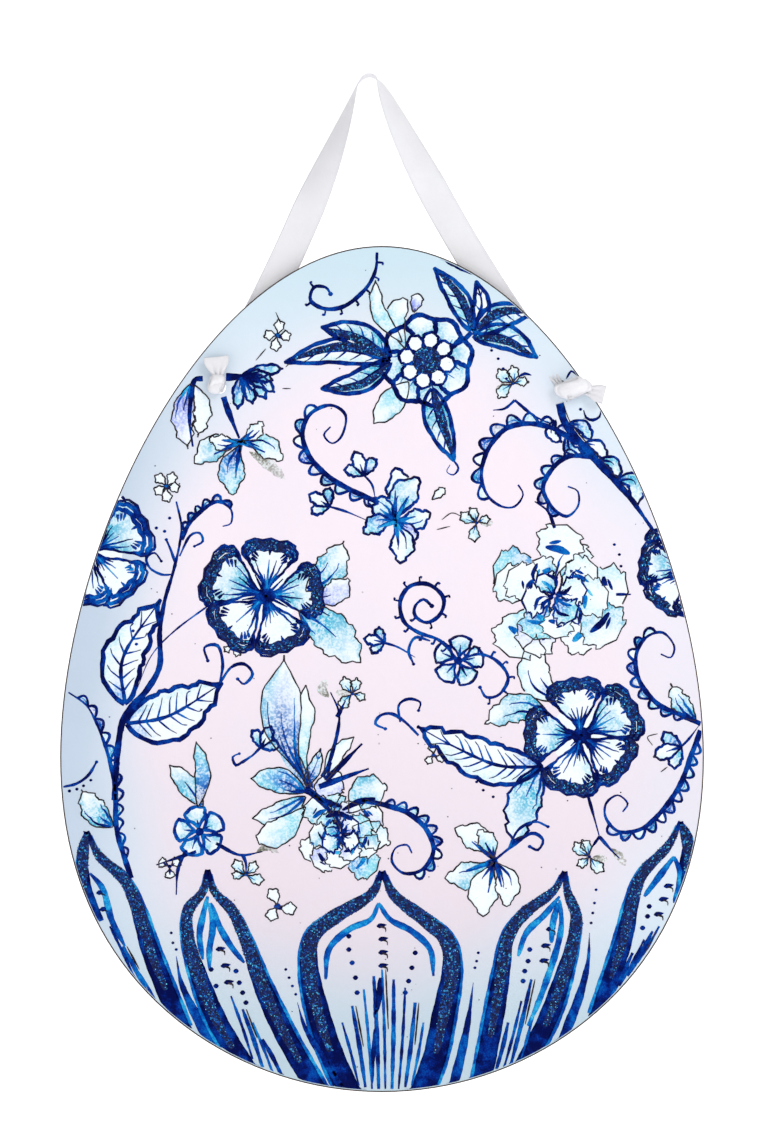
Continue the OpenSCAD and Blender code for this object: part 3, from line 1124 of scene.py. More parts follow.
@dataclass
class Peony:
    """Full ruffled bloom: broad outer petals round a dark heart of smaller ones."""

    centre: Point
    wide: float
    high: float
    turn: float = 20.0
    outer: int = 9
    rim: Line = THIN
    tints: Sequence[Tint] = (ICE, SEA, BARE, SKY, ICE, MINT, VIOLET)
    dabs: int = 11

    def _ring(self, count: int, near: float, far: float, plump: float, twist: float,
              line: Line) -> list[Blade]:
        """Return a ring of frilled petals.

        Args:
            count: how many there are.
            near: where their roots are, as a share of the bloom's size.
            far: where their tips are.
            plump: their width as a share of their reach.
            twist: how far the ring is turned, in degrees.
            line: what goes round them.

        Returns:
            The petals, in the order they are painted.
        """
        blades = []
        for k in range(count):
            a = self.turn + twist + 360 / count * k + 4 * math.sin(2.7 * k)
            squash = math.hypot(math.cos(math.radians(a)) * self.wide,
                                math.sin(math.radians(a)) * self.high) / 2
            squash *= 1 + 0.12 * math.sin(2.3 * k + self.turn)
            spine = fan(self.centre, a, squash * near, squash * far, 14 if k % 2 else -11)
            blades.append(Blade(spine, squash * plump, 0.70, 0.7, 0.90, squash * 0.07, squash * 0.045, 4.2,
                                self.tints[k % len(self.tints)], line, 2))
        return blades

    @staticmethod
    def _folds(easel: Easel, blades: Sequence[Blade], share: float, width: float,
               under: Sequence[Sequence[Point]]) -> None:
        """Lay a blue crescent across each petal where it dips under the next ring.

        Args:
            easel: what it is painted on.
            blades: the petals.
            share: how far out along each petal it lies.
            width: how thick it is.
            under: the outlines that hide it.
        """
        for k, blade in enumerate(blades):
            row = blade.rows[int(len(blade.rows) * (share + 0.07 * math.sin(1.9 * k)))]
            tip = blade.rows[-1][3]
            for n, wide in enumerate((width, width * 0.5)):
                reach = 0.06 + 0.20 * n
                bow = [(lerp(p[0], tip[0], reach * (1.5 - abs(j - 3) / 3)),
                        lerp(p[1], tip[1], reach * (1.5 - abs(j - 3) / 3))) for j, p in enumerate(row)]
                easel.draw(bow[1:6 - 2 * n], wide, (0.20, 0.56, 0.34, 0.70)[(k + 2 * n) % 4],
                           under=[*under, *(b.outline() for b in blades[k + 1:])])

    def paint(self, easel: Easel) -> None:
        """Paint the rings from the outside in, with folds between them."""
        size = min(self.wide, self.high)
        outer = self._ring(self.outer, 0.2, 1.0, 0.70, 0, self.rim)
        middle = self._ring(6, 0.10, 0.68, 0.58, 31, self.rim)
        heart = self._ring(4, 0.02, 0.40, 0.46, 8, DARK)
        easel.shapes([*outer, *middle, *heart])
        self._folds(easel, outer, 0.60, size * 0.068, [b.outline() for b in (*middle, *heart)])
        self._folds(easel, middle, 0.50, size * 0.060, [b.outline() for b in heart])
        for k in range(self.dabs):
            a = self.turn + 360 / self.dabs * k + 14 * math.sin(3.1 * k)
            near = size * (0.03, 0.20, 0.08)[k % 3]
            far = near + size * (0.13, 0.10, 0.12)[k % 3]
            sway = (16, -26, 34)[k % 3]
            spine = [polar(self.centre, a, near), polar(self.centre, a + sway * 0.3, (near + far) / 2),
                     polar(self.centre, a + sway, far)]
            easel.draw(spine, size * 0.045, (0.10, 0.44, 0.24, 0.78)[k % 4], Pot.BLUE)


@dataclass
class RimmedFlower:
    """Wide flower whose petals are edged with a scalloped band of glitter."""

    centre: Point
    tips: Sequence[Point]
    band: float = 3.6
    tone: float = 0.11
    glitter: bool = True
    plump: float = 1.04
    tints: Sequence[Tint] = (ICE, SEA, BARE)

    def paint(self, easel: Easel) -> None:
        """Paint each petal, its streaks, its band and the dark middle."""
        blades, reach = [], sum(math.dist(self.centre, tip) for tip in self.tips) / len(self.tips)
        easel.turns += 1
        easel.disc(self.centre, reach * 0.56, Dye.WHITE)
        easel.turns += 1
        for k, tip in enumerate(self.tips):
            away = math.dist(self.centre, tip)
            spine = [(lerp(self.centre[0], tip[0], 0.04), lerp(self.centre[1], tip[1], 0.04)), tip]
            blades.append(Blade(spine, away * self.plump, 0.74, 0.62, 0.86, away * 0.06, away * 0.028, 3.0,
                                self.tints[k % len(self.tints)], DARK, 5))
        easel.shapes(blades)
        edges = [b.outline() for b in blades]
        for k, blade in enumerate(blades):
            rows = len(blade.rows)
            rim = [r[0] for r in blade.rows[int(rows * 0.58):]] + blade.rows[-1][1:]
            rim += [r[-1] for r in reversed(blade.rows[int(rows * 0.58):-1])]
            heart, n, over = blade.rows[rows // 2][3], len(rim) - 1, edges[k + 1:]
            for share, wide in ((0.12, 1.25), (0.30, 1.2)):
                run = []
                for i, q in enumerate(rim):
                    deep = share * math.sin(math.pi * i / n) ** 0.7
                    run.append((lerp(q[0], heart[0], deep), lerp(q[1], heart[1], deep)))
                easel.draw(run, self.band * wide, self.tone, Pot.BLUE, Ends.FINE, False, over)
                if self.glitter:
                    easel.draw(run[n // 5:n - n // 6], self.band, 0.1, Pot.GLITTER, Ends.FINE, False, over)
            for i in range(n // 5, n - n // 6, 3):
                tooth = [(lerp(rim[i][0], heart[0], s), lerp(rim[i][1], heart[1], s)) for s in (0.34, 0.56)]
                easel.draw(tooth, 2.2, self.tone + 0.08, Pot.BLUE, Ends.DYING, True, over)
        for k in range(10):
            a = 36 * k + 9
            easel.draw([self.centre, polar(self.centre, a, reach * (0.27 + 0.16 * (k % 2)))], 2.2, 0.1,
                       Pot.BLUE,
                       Ends.DYING)
        easel.dot(self.centre, reach * 0.36, 0.10)
        easel.dot(self.centre, reach * 0.11, 1.0)


@dataclass
class Panel:
    """Pointed arch of navy and glitter at the board's foot, with dots and pinstripes inside."""

    left: Sequence[Point]
    right: Sequence[Point]
    band: float
    inner: Sequence[Sequence[Point]]
    glints: tuple[float, float] = (0.06, 0.8)
    commas: Sequence[Point] = ()
    dots: Sequence[Point] = ()
    stripes: Sequence[tuple[Point, Point]] = ()

    def paint(self, easel: Easel) -> None:
        """Fill the arch, then draw its bands, glitter, inner lines, dots and stripes."""
        for side, inward in ((self.left, 0.5), (self.right, -0.5)):
            (x0, y0), (x1, y1) = side[-2:]
            past = 11 / math.dist((x0, y0), (x1, y1))
            side = [*side, (x1 + (x1 - x0) * past, y1 + (y1 - y0) * past)]
            easel.draw(side, self.band, 0.15, Pot.BLUE, Ends.SWELL)
            run = run_through(side, 1.5)
            n = len(run)
            part = run[int(n * self.glints[0]):int(n * self.glints[1])]
            easel.draw(part, self.band * 0.66, 0.1, Pot.GLITTER, Ends.FINE, False)
            rim = []
            for i in range(2, n - 2):
                off = sideways(run, i) * self.band * Ends.SWELL.share(i / n) * inward
                rim.append((run[i][0] - off.x, run[i][1] - off.y))
            easel.draw(rim, 2.2, 0.56, Pot.BLUE, Ends.SWELL, False)
        for points in self.inner:
            easel.draw(points, 4.4, 0.56, Pot.BLUE, Ends.FINE)
            easel.draw(points[1:], 1.7, 0.3, Pot.BLUE, Ends.FINE)
        for at in self.commas:
            easel.dot(at, 4.4, 0.02, Pot.BLUE, (1.6, 0.9))
            easel.draw([at, (at[0] + 3.0, at[1] - 1.2), (at[0] + 3.2, at[1] - 3.4)], 1.4, 0.0, Pot.INK,
                       Ends.DYING)
        for at in self.dots:
            easel.dot(at, 3.2, 0.08)
        for k, (foot, top) in enumerate(self.stripes):
            bend = ((foot[0] + top[0]) / 2 + 0.4, (foot[1] + top[1]) / 2)
            easel.draw([foot, bend, top], 3.0 if k % 2 else 2.1, 0.26 + 0.1 * (k % 3), Pot.BLUE, Ends.HOOK)
            if k % 3 == 1:
                easel.draw([(bend[0] + 2.4, bend[1]), (top[0] + 2.2, top[1])], 1.2, 0.0, Pot.INK, Ends.FINE)


@dataclass
class Blades:
    """A few loose petals painted in order."""

    blades: Sequence[Blade]

    def paint(self, easel: Easel) -> None:
        """Paint them."""
        easel.shapes(self.blades)


@dataclass
class Painting:
    """The whole design, motif by motif, in millimetres from the foot of the egg's centreline."""

    easel: Easel = field(default_factory=Easel)

    def compose(self) -> Easel:
        """Paint every motif and return the easel."""
        for part in (self._foot, self._edges, self._left_vine, self._left_bloom, self._spray,
                     self._middle, self._right_vine, self._right_bloom, self._lower_scrolls,
                     self._crown, self._knot_side):
            before = sum(len(v) for v in self.easel.strokes.values())
            part()
            LOG.info("%s: %d lines", part.__name__.strip("_"),
                     sum(len(v) for v in self.easel.strokes.values()) - before)
        self._specks()
        return self.easel

    def _put(self, *motifs: object) -> None:
        """Paint motifs in order."""
        for motif in motifs:
            motif.paint(self.easel)

    def _stems(self, *runs: Sequence[Point], width: float = 2.3, tone: float = 0.16) -> None:
        """Draw stalks that thin out at their ends."""
        for run in runs:
            self.easel.draw(run, width, tone, Pot.BLUE, Ends.DYING)

    def _pen(self, *runs: Sequence[Point], width: float = 0.8) -> None:
        """Draw pen lines."""
        for run in runs:
            self.easel.draw(run, width, 0.2, Pot.INK, Ends.FINE)

    def _beads(self, *spots: Point, size: float = 2.0) -> None:
        """Put down dots."""
        for spot in spots:
            self.easel.dot(spot, size, 0.08)

    def _crown(self) -> None:
        """Paint the daisy under the apex with its leaves, tendril and small blooms."""
        self._put(
            Blades([Blade([(16, 428), (6, 416), (-5, 403)], 15, tint=MINT),
                    Blade([(14, 448), (8, 466), (14, 478)], 12, 0.6, 0.7, 0.95, tint=MINT),
                    Blade([(12, 452), (-2, 470), (-4, 489)], 9, tint=MINT),
                    Blade([(19, 470), (22, 481)], 7, 0.6, 0.6, 0.95, tint=VIOLET)]),
            Leaf([(5, 443), (-14, 456), (-36, 461)], 15, 1.0, tint=SEA),
            Leaf([(5, 442), (-26, 447), (-58, 440)], 15, -1.0, tint=ICE),
            Leaf([(5, 440), (-14, 428), (-36, 424)], 13, 1.0, hatch=4),
            Leaf([(54, 459), (46, 478), (32, 496)], 12, -1.0, hatch=4, tint=MINT),
            Leaf([(54, 459), (60, 474), (57, 488)], 10, 0.0, hatch=3, tint=ICE),
            Leaf([(56, 458), (72, 468), (91, 470)], 15, 1.0),
            Leaf([(55, 456), (75, 455), (93, 443)], 14, -1.0, hatch=4, tint=SEA),
            Leaf([(30, 424), (33, 407), (43, 381)], 15, 1.0, hatch=5),
            Daisy((27, 441), 27))
        self._stems([(54, 458), (48, 452), (43, 449)], [(5, 442), (2, 442)], width=3.0)
        self._stems([(43, 381), (46, 376), (43, 372), (39, 374), (41, 378)], width=1.4)
        self._put(Scroll([(-3, 506), (-4, 495), (-10, 484), (-22, 474), (-34, 472), (-43, 477), (-41, 485),
                          (-34, 485), (-31, 481)], 2.2, 0.2, ticks=8),
                  TinyFlower((-63, 456), 9, 70, 4))
        self._pen([(-70, 448), (-76, 441)], [(-61, 463), (-64, 470)])
        self._put(Leaf([(57, 494), (47, 500), (36, 503)], 7, 0.0, DARK, 2, ICE))
        self._beads((66, 447), (70, 442), (73, 436), (75, 430), size=1.9)

    def _knot_side(self) -> None:
        """Paint the hanging petals and lily under the left knot and the arcs by the right one."""
        self._stems([(-108, 430), (-113, 429), (-115, 420), (-116, 404), (-114, 389)], width=3.6)
        self._stems([(-94, 431), (-89, 431), (-82, 432)], width=5.2, tone=0.08)
        self._put(
            Blades([Blade([(-113, 426), (-108, 412), (-111, 395)], 10, 0.5, 0.8, 1.0, 0, 1.2, 4, BARE),
                    Blade([(-115, 427), (-120, 408), (-117, 388)], 13, 0.5, 0.8, 1.0, 0, 1.2, 4, VIOLET,
                          streaks=3)]),
            Lily((-85, 392), [(-113, 379), (-104, 394), (-90, 360), (-60, 381), (-72, 404)], 0.44,
                 tints=(SEA, ICE, SKY, MINT, ICE)),
            Blades([Blade([(-80, 386), (-69, 379), (-58, 369)], 7, tint=SHADOW, line=None)]))
        self._stems([(-95.5, 419), (-92.5, 410), (-86, 394)], width=4.0)
        hub = (-85, 431)
        for tip in ((-60, 436), (-66, 429), (-65, 422), (-70, 418), (-78, 415), (-87, 412)):
            knee = (lerp(hub[0], tip[0], 0.6), lerp(hub[1], tip[1], 0.5) + 1.6)
            self._put(Blades([Blade([hub, knee, tip], 7, 0.5, 0.8, tint=SKY, line=DARK, streaks=1)]))
        self._pen([(-58, 437), (-54, 441)], [(-60, 424), (-55, 424)])
        for run in ([(121.5, 411), (123, 406.5), (127, 405), (131, 407), (132, 411)],
                    [(111, 430), (114, 434.5), (117, 433), (121, 430)], [(82, 431), (86, 433), (90, 432)]):
            self.easel.draw(run, 1.9, 0.08, Pot.BLUE, Ends.FINE)
        self._beads((119.6, 411.5), (134, 416.5), size=2.0)

    def _middle(self) -> None:
        """Paint the crested scroll, buds and lily of the middle."""
        self._put(
            Scroll([(-2, 355), (-28, 368), (-43, 382), (-48, 397), (-43, 409), (-31, 414), (-22, 408),
                    (-24, 396), (-30, 391), (-35, 396), (-31, 401)], 2.4, 0.24, 4.6, 9, 0.0, 0.62),
            Bud([(-4, 357), (-6, 366), (-11, 372)], 15, 108),
            Bud([(-10, 345), (-22, 350), (-32, 353)], 14, 145),
            Lily((8, 344), [(8, 376), (22, 370), (29, 349), (18, 328), (-8, 357), (-11, 337), (11, 319)],
                 0.50, tints=(ICE, SEA, MINT, VIOLET, SEA, SKY, ICE), line=DARK),
            Blades([Blade([(30, 357), (38, 364)], 5, 0.6, tint=ICE)]))
        self._pen([(36, 345), (42, 349), (48, 347)], [(33, 339), (41, 341)])
        self._put(
            Scroll([(46, 260), (35, 272), (22, 277), (13, 284), (11, 296), (17, 305), (28, 306), (37, 298),
                    (35, 288), (27, 283), (20, 287), (20, 293), (25, 297), (30, 293)], 2.2, 0.2,
                   ticks=13),
            Scroll([(46, 260), (58, 264), (69, 260), (76, 250), (71, 240), (63, 238), (59, 244)], 1.8, 0.24,
                   ticks=7),
            Scroll([(29, 272), (20, 274), (16, 266), (19, 258)], 1.6),
            StarFlower((46, 260), 15, 5, 80, DARK, SEA),
            Bud([(20, 262), (10, 268), (1, 271)], 12, 165))

    def _right_vine(self) -> None:
        """Paint the stems, crested scrolls and small blooms of the upper right."""
        self._put(Blades([Blade(spine, wide, 0.5, 0.8, tint=tint, line=DARK, streaks=1)
                          for spine, wide, tint in (
            ([(113, 403), (121, 401), (126, 393)], 7, SKY), ([(122, 391), (130, 389), (135, 381)], 7, ICE),
            ([(131, 381), (139, 379), (143, 370)], 7, SEA), ([(142, 369), (152, 368), (154, 354)], 10, SEA),
            ([(104, 405), (102, 397), (108, 392)], 6, ICE), ([(112, 396), (113, 388), (121, 385)], 6, SKY))]))
        self._stems([(107, 415), (111, 402), (126, 384), (139, 370), (151, 356), (161, 342), (171, 328)],
                    width=5.0, tone=0.18)
        self._pen([(109, 416), (114, 403), (128, 386), (141, 371), (150, 360)], width=0.9)
        self._stems([(80, 417), (91, 408), (103, 402)], [(80, 417), (74, 412), (67, 411)], width=2.0)
        self._put(
            MintSprig((79, 427), 12, (150, 80, 20, 210), 200),
            Scroll([(118, 391), (103, 400), (88, 403), (75, 400), (66, 391), (61, 380), (60, 369), (64, 359),
                    (72, 353), (80, 353), (85, 360), (82, 366)], 2.4, 0.2, 5.0, 9, 0.05, 0.74),
            Scroll([(127, 383), (112, 383), (102, 375), (97, 364), (102, 353), (111, 347), (118, 353),
                    (118, 362), (112, 365)], 2.2, 0.2, 4.0, 6, 0.10, 0.66),
            MintSprig((57, 343), 11, (160, 100, 30, 250), 0),
            RimmedFlower((184, 315), [(171, 342), (157, 319), (167, 294), (190, 290)], 2.7),
            Peony((104, 299), 76, 74, 15))
        self._stems([(104, 340), (100, 350), (92, 356)], [(141, 300), (150, 300)], width=2.2)
        self._beads((140, 330), (143, 324), (144, 317), size=1.9)

    def _edges(self) -> None:
        """Paint the blooms and crested stems that run off the board's two sides."""
        self._put(
            RimmedFlower((-175, 326), [(-172, 361), (-144, 343), (-152, 302), (-180, 296)], 3.0, 0.36, False),
            Scroll([(-151, 129), (-156, 144), (-160, 160), (-161, 184), (-165, 203), (-171, 220),
                    (-178, 233), (-189, 241)], 2.4, 0.2, 3.6, 12, 0.1, 0.95),
            Scroll([(-192, 184), (-184, 186), (-177, 191), (-172, 199)], 1.6, 0.3, beads=4),
            Blades([Blade([(-162, 160), (-172, 168), (-181, 182)], 15, 0.5, 0.85, 1.0, 0, 1.1, 4, SEA,
                          streaks=3)]),
            Scroll([(192, 222), (181, 227), (166, 234), (155, 248), (153, 263), (159, 274), (169, 277),
                    (176, 269), (174, 262), (168, 264)], 2.3, 0.2, 4.0, 9, 0.1, 0.75),
            Scroll([(192, 218), (186, 202), (180, 186), (170, 171), (157, 159), (143, 157), (135, 165),
                    (135, 174), (142, 179), (148, 174), (145, 169)], 2.4, 0.2, 4.4, 11, 0.06, 0.72))
        self._put(Blades([Blade([(189, 224), (181, 233), (174, 246)], 11, 0.5, 0.85, 1.0, 0, 1.2, 4, SEA,
                                streaks=2)]),
                  Bud([(191, 221), (185, 213), (180, 208)], 17, 196))
        self._pen([(166, 216), (160, 214), (163, 209)], [(172, 196), (168, 193)])

    def _left_vine(self) -> None:
        """Paint the long stem up the left with its leaves, curls and buds."""
        self._stems([(-161, 176), (-160, 199), (-157, 221), (-152, 231), (-142, 242), (-134, 257),
                     (-134, 277), (-131, 296), (-126, 313), (-122, 330), (-121, 342), (-124, 356)],
                    width=4.2, tone=0.12)
        self._put(
            Leaf([(-155, 234), (-156, 262), (-134, 296)], 24, 0.0, Line(3.2, 0.14, Pot.BLUE), 6, ICE, 1.7, 5),
            Leaf([(-154, 222), (-128, 227), (-97, 246)], 30, 0.0, Line(3.2, 0.14, Pot.BLUE), 7, ICE, 1.5, 5),
            Scroll([(-121, 333), (-116, 343), (-108, 351), (-99, 356), (-91, 351), (-91, 343), (-96, 341)],
                   2.0, 0.22, 3.2, 6, 0.1, 0.75),
            Scroll([(-122, 323), (-116, 335), (-110, 337), (-108, 332), (-113, 329)], 1.4),
            Scroll([(-124, 317), (-127, 326), (-130, 333)], 1.5),
            Scroll([(-126, 312), (-133, 312), (-140, 316), (-142, 322), (-137, 325), (-133, 320)], 1.4),
            Scroll([(-98, 246), (-96, 258), (-99, 269), (-107, 268), (-105, 260)], 1.7, 0.26),
            Scroll([(-98, 246), (-91, 256), (-83, 258), (-78, 252), (-83, 246), (-87, 249)], 1.7, 0.26),
            TinyFlower((-130, 365), 9, 120, 5), TinyFlower((-90, 268), 6, 60, 3))
        self._stems([(-105, 293), (-125, 278), (-139, 263), (-148, 242)], width=1.2, tone=0.3)
        self._beads((-131, 338), (-136, 340), (-128, 346), (-148, 270), (-150, 278), (-149, 286), size=2.1)

    def _left_bloom(self) -> None:
        """Paint the large flower of the left with its loose petals."""
        self._put(
            Blades([Blade([(-46, 302), (-32, 314), (-23, 332)], 19, 0.5, 0.9, 1.0, 0, 1.3, 4, SEA, streaks=2),
                    Blade([(-44, 297), (-30, 300), (-20, 309)], 14, 0.6, 0.8, 0.98, 0, 1.1, 3, VIOLET,
                          streaks=1),
                    Blade([(-50, 290), (-34, 280), (-13, 259)], 24, 0.5, 0.8, 0.99, 0, 1.6, 5, SEA,
                          streaks=3)]),
            RimmedFlower((-70, 299), [(-67, 331), (-104, 314), (-96, 276), (-58, 268), (-38, 303)]))

    def _spray(self) -> None:
        """Paint the tall bud, its leaves and the dark bloom below them."""
        self._put(
            Leaf([(-46, 185), (-40, 197), (-37, 207)], 8, 0.0, THIN, 2, SKY),
            Blades([Blade([(-46, 181), (-62, 188), (-79, 189)], 15, tint=SKY, streaks=3),
                    Blade([(-46, 178), (-62, 168), (-78, 165)], 13, tint=SEA, streaks=2),
                    Blade([(-46, 172), (-60, 158), (-75, 152)], 16, 0.6, 0.7, 0.95, 0, 0.8, 3, tint=MINT),
                    Blade([(-34, 188), (-28, 203), (-17, 214)], 9, tint=ICE, streaks=1),
                    Blade([(-43, 184), (-49, 214), (-46, 244)], 15, 0.66, 1.3, 0.97, 1.2, 1.0, 3, tint=MINT),
                    Blade([(-45, 184), (-60, 220), (-59, 263)], 25, 0.60, 1.3, 1.0, 0, 0.8, 3,
                          tint=Tint(Dye.DEEP, Dye.AZURE, Dye.WHITE, Dye.AQUA, 0.6, 0.8), streaks=3)]))
        self._put(Blades([Blade([(-43, 182), (-57, 206), (-65, 228)], 10, 0.4, tint=SKY, line=None,
                                streaks=2),
                          Blade([(-42, 182), (-51, 204), (-53, 226)], 9, 0.4, tint=SKY, line=None,
                                streaks=2)]))
        self._stems([(-36, 190), (-32, 198), (-27, 216), (-26, 229), (-31, 241)], [(-27, 226), (-22, 236)],
                    width=2.8)
        self._stems([(-34, 188), (-24, 198), (-12, 210)], [(-38, 184), (-22, 190), (-8, 195)], width=4.0)
        self._put(Blades([Blade([(-32, 238), (-36, 243), (-33, 249)], 6, tint=SHADOW, line=None)]))
        self._put(
            MintSprig((-18, 240), 11, (130, 60, -10, 220), 175),
            Blades([Blade([(-30, 168), (-32, 182), (-26, 192)], 17, 0.58, 0.78, 0.97, 1, 1.1, 4, tint=VIOLET),
                    Blade([(-20, 168), (-10, 180), (2, 184)], 20, 0.58, 0.78, 0.97, 1, 1.2, 4, tint=SEA),
                    Blade([(-18, 160), (-8, 156), (4, 150)], 17, 0.56, 0.8, 0.98, 1, 1.2, 4, tint=MINT)]),
            Peony((-25, 155), 46, 52, 40, 7, THIN, (VIOLET, SKY, SEA, ICE), 9))
        for run in (((-52, 182), (-42, 180), (-30, 168)), ((-46, 184), (-36, 176), (-24, 172)),
                    ((-34, 166), (-26, 168), (-18, 164)), ((-24, 170), (-14, 175), (-4, 177))):
            self.easel.draw(run, 4.4, 0.1, Pot.BLUE, Ends.FINE)
        self._put(
            Bud([(-84, 198), (-78, 203), (-73, 208)], 14, 60),
            Scroll([(-78, 203), (-83, 200), (-88, 197), (-90, 202), (-86, 204)], 1.4),
            StarFlower((-110, 157), 15, 5, 100, Line(2.3, 0.34, Pot.BLUE), SEA),
            StarFlower((-128, 136), 7, 3, 150, THIN, BARE),
            MintSprig((-82, 131), 11, (140, 40, 190, 330), 60),
            Blades([Blade([(-108, 172), (-118, 186), (-128, 197)], 12, tint=SEA, streaks=1),
                    Blade([(-111, 172), (-108, 192), (-112, 211)], 9, tint=SKY)]),
            TinyFlower((-63, 112), 11, 100, 3))
        self._stems([(-112, 145), (-124, 141), (-136, 137)], [(-118, 146), (-123, 134), (-124, 119)],
                    [(-100, 150), (-86, 143), (-72, 145)], [(-84, 143), (-82, 138), (-82, 132)], width=2.4)
        self._put(Blades([Blade([(-76, 144), (-69, 148), (-62, 144)], 5, tint=SHADOW, line=None)]))

    def _right_bloom(self) -> None:
        """Paint the broad glitter-rimmed flower of the right with its leaf and tendril."""
        self._put(
            Blades([Blade([(106, 236), (92, 250), (93, 276)], 19, 0.46, 0.85, 1.0, 0, 1.2, 4, ICE, streaks=2),
                    Blade([(100, 228), (82, 232), (62, 222)], 17, 0.5, 0.8, 1.0, 0, 1.4, 4, SEA, streaks=2),
                    Blade([(96, 197), (86, 176), (79, 150)], 20, 0.5, 0.8, 1.0, 0, 1.6, 5, SEA, DARK, 3)]),
            Leaf([(96, 196), (70, 197), (44, 208), (22, 220)], 24, 0.0, Line(3.0, 0.16, Pot.BLUE), 8, ICE,
                 1.7, 6),
            RimmedFlower((120, 215), [(115, 247), (151, 232), (146, 196), (112, 182), (88, 216)]),
            Scroll([(22, 215), (14, 223), (6, 228), (-1, 227), (-4, 222), (2, 219)], 1.7, 0.24),
            Scroll([(11, 223), (10, 233), (16, 237), (23, 235), (22, 230)], 1.5),
            MintSprig((125, 142), 12, (150, 100, 230, 300), -10),
            TinyFlower((31, 203), 7, 90, 3))
        self._stems([(122, 186), (126, 172), (131, 154)], [(131, 154), (126, 147)],
                    [(131, 154), (138, 146), (143, 141)], width=2.2)
        self._put(Blades([Blade([(138, 147), (143, 142), (147, 136)], 5, tint=SHADOW, line=None)]))
        self._beads((57, 187), (61, 182), (67, 178), size=1.9)

    def _lower_scrolls(self) -> None:
        """Paint the scroll and lily that fill the room above the middle arch."""
        self._put(
            Scroll([(-12, 176), (2, 173), (16, 168), (27, 158), (31, 145), (24, 134), (13, 132), (6, 139),
                    (8, 147), (15, 149), (18, 144)], 2.4, 0.2, 4.4, 9, 0.12, 0.68),
            Lily((68, 140), [(44, 159), (38, 129), (61, 106), (75, 112), (58, 158)], 0.46,
                 tints=(ICE, SEA, BARE, BARE, MINT)),
            Scroll([(68, 140), (78, 148), (90, 156), (97, 152), (94, 146), (89, 148)], 1.8, 0.3),
            Scroll([(76, 146), (82, 158), (92, 163), (100, 160)], 1.6, 0.3))

    def _foot(self) -> None:
        """Paint the five pointed arches of the foot and the wisps between them."""
        ease_in = [(-14, 4), (-10, 3), (-6, 2), (-2, 2), (2, 2), (6, 2), (10, 2), (14, 3), (18, 4)]
        tops = [(-24, 42), (-18, 52), (-11, 62), (-5, 70), (0, 74), (7, 68), (14, 63), (20, 54), (25, 42)]
        self._put(
            Panel([(0, 133), (-7, 119), (-28, 106), (-42, 94), (-44, 74), (-38, 46), (-30, 22), (-20, 0)],
                  [(0, 133), (8, 118), (26, 104), (39, 92), (42, 74), (37, 46), (32, 22), (24, 0)], 15.5,
                  [[(-2, 114), (-7, 104), (-20, 98), (-32, 86), (-34, 68)],
                   [(-2, 114), (5, 104), (18, 97), (29, 86), (31, 70)]], (0.04, 0.78),
                  [(-1, 100), (0, 92), (0, 84), (0, 76)],
                  [(-20, 94), (-20, 86), (-18, 78), (-16, 69), (-15, 60), (20, 84), (18, 75), (16, 67),
                   (14, 60)],
                  list(zip(ease_in, tops))),
            Panel([(-105, 134), (-108, 121), (-117, 109), (-117, 92), (-109, 66), (-99, 42), (-84, 17)],
                  [(-105, 134), (-101, 121), (-90, 109), (-82, 92), (-72, 64), (-58, 34), (-42, 6)], 13.5,
                  [[(-105, 118), (-108, 106), (-110, 94), (-108, 80)],
                   [(-103, 114), (-98, 100), (-91, 88), (-83, 78)],
                   [(-104, 114), (-102, 100), (-104, 86), (-104, 74)]], (0.05, 0.84),
                  [(-98, 86), (-95, 76), (-93, 66)],
                  [(-103, 74), (-100, 64), (-88, 73), (-86, 66), (-84, 60), (-82, 54)],
                  [((-78, 20), (-91, 58)), ((-72, 15), (-84, 50)), ((-66, 12), (-78, 42)),
                   ((-60, 9), (-72, 32))]),
            Panel([(110, 133), (103, 121), (86, 108), (76, 94), (72, 72), (68, 48), (61, 11)],
                  [(110, 133), (112, 120), (117, 106), (115, 90), (108, 66), (100, 44), (89, 22)], 13,
                  [[(107, 118), (98, 107), (87, 96), (82, 82)], [(107, 116), (108, 100), (104, 82), (95,
                                                                                                     56),
                                                                                                     (88,
                                                                                                      40)],
                   [(106, 114), (103, 102), (102, 90)]],
                  (0.05, 0.78), [(101, 98), (98, 88), (97, 79)],
                  [(89, 86), (88, 79), (86, 73), (85, 67)],
                  [((73, 13), (84, 55)), ((77, 14), (90, 68)), ((83, 17), (93, 55)), ((69, 14), (76, 42))]),
            Panel([(-178, 157), (-180, 146), (-181, 132), (-180, 120), (-177, 112)],
                  [(-178, 157), (-170, 142), (-155, 128), (-147, 110), (-139, 84), (-124, 46)], 12.5,
                  [[(-176, 132), (-168, 122), (-163, 104), (-155, 88)]], (0.05, 0.8),
                  [(-170, 120), (-168, 110)], [(-166, 96), (-163, 88), (-160, 80)],
                  [((-148, 66), (-164, 100)), ((-142, 60), (-156, 88)), ((-137, 56), (-148, 74))]),
            Panel([(180, 163), (172, 148), (157, 132), (151, 116), (145, 90), (133, 54)],
                  [(180, 163), (184, 152), (185, 142), (184, 134)], 12,
                  [[(176, 142), (167, 130), (158, 118)], [(176, 142), (180, 130), (176, 114)]],
                  (0.05, 0.8), [(172, 124), (169, 116), (166, 107)],
                  [(161, 112), (160, 106), (157, 99)],
                  [((143, 64), (158, 92)), ((148, 70), (163, 97)), ((154, 78), (167, 100)),
                   ((138, 58), (151, 84))]))
        for run in ([(-124, 82), (-121, 66), (-114, 50), (-106, 34)],
                    [(-51, 54), (-46, 38), (-36, 22), (-25, 4)],
                    [(55, 66), (52, 44), (48, 24), (43, 4)], [(125, 96), (124, 78), (119, 58), (111, 37)]):
            last = (2 * run[-1][0] - run[-2][0], 2 * run[-1][1] - run[-2][1])
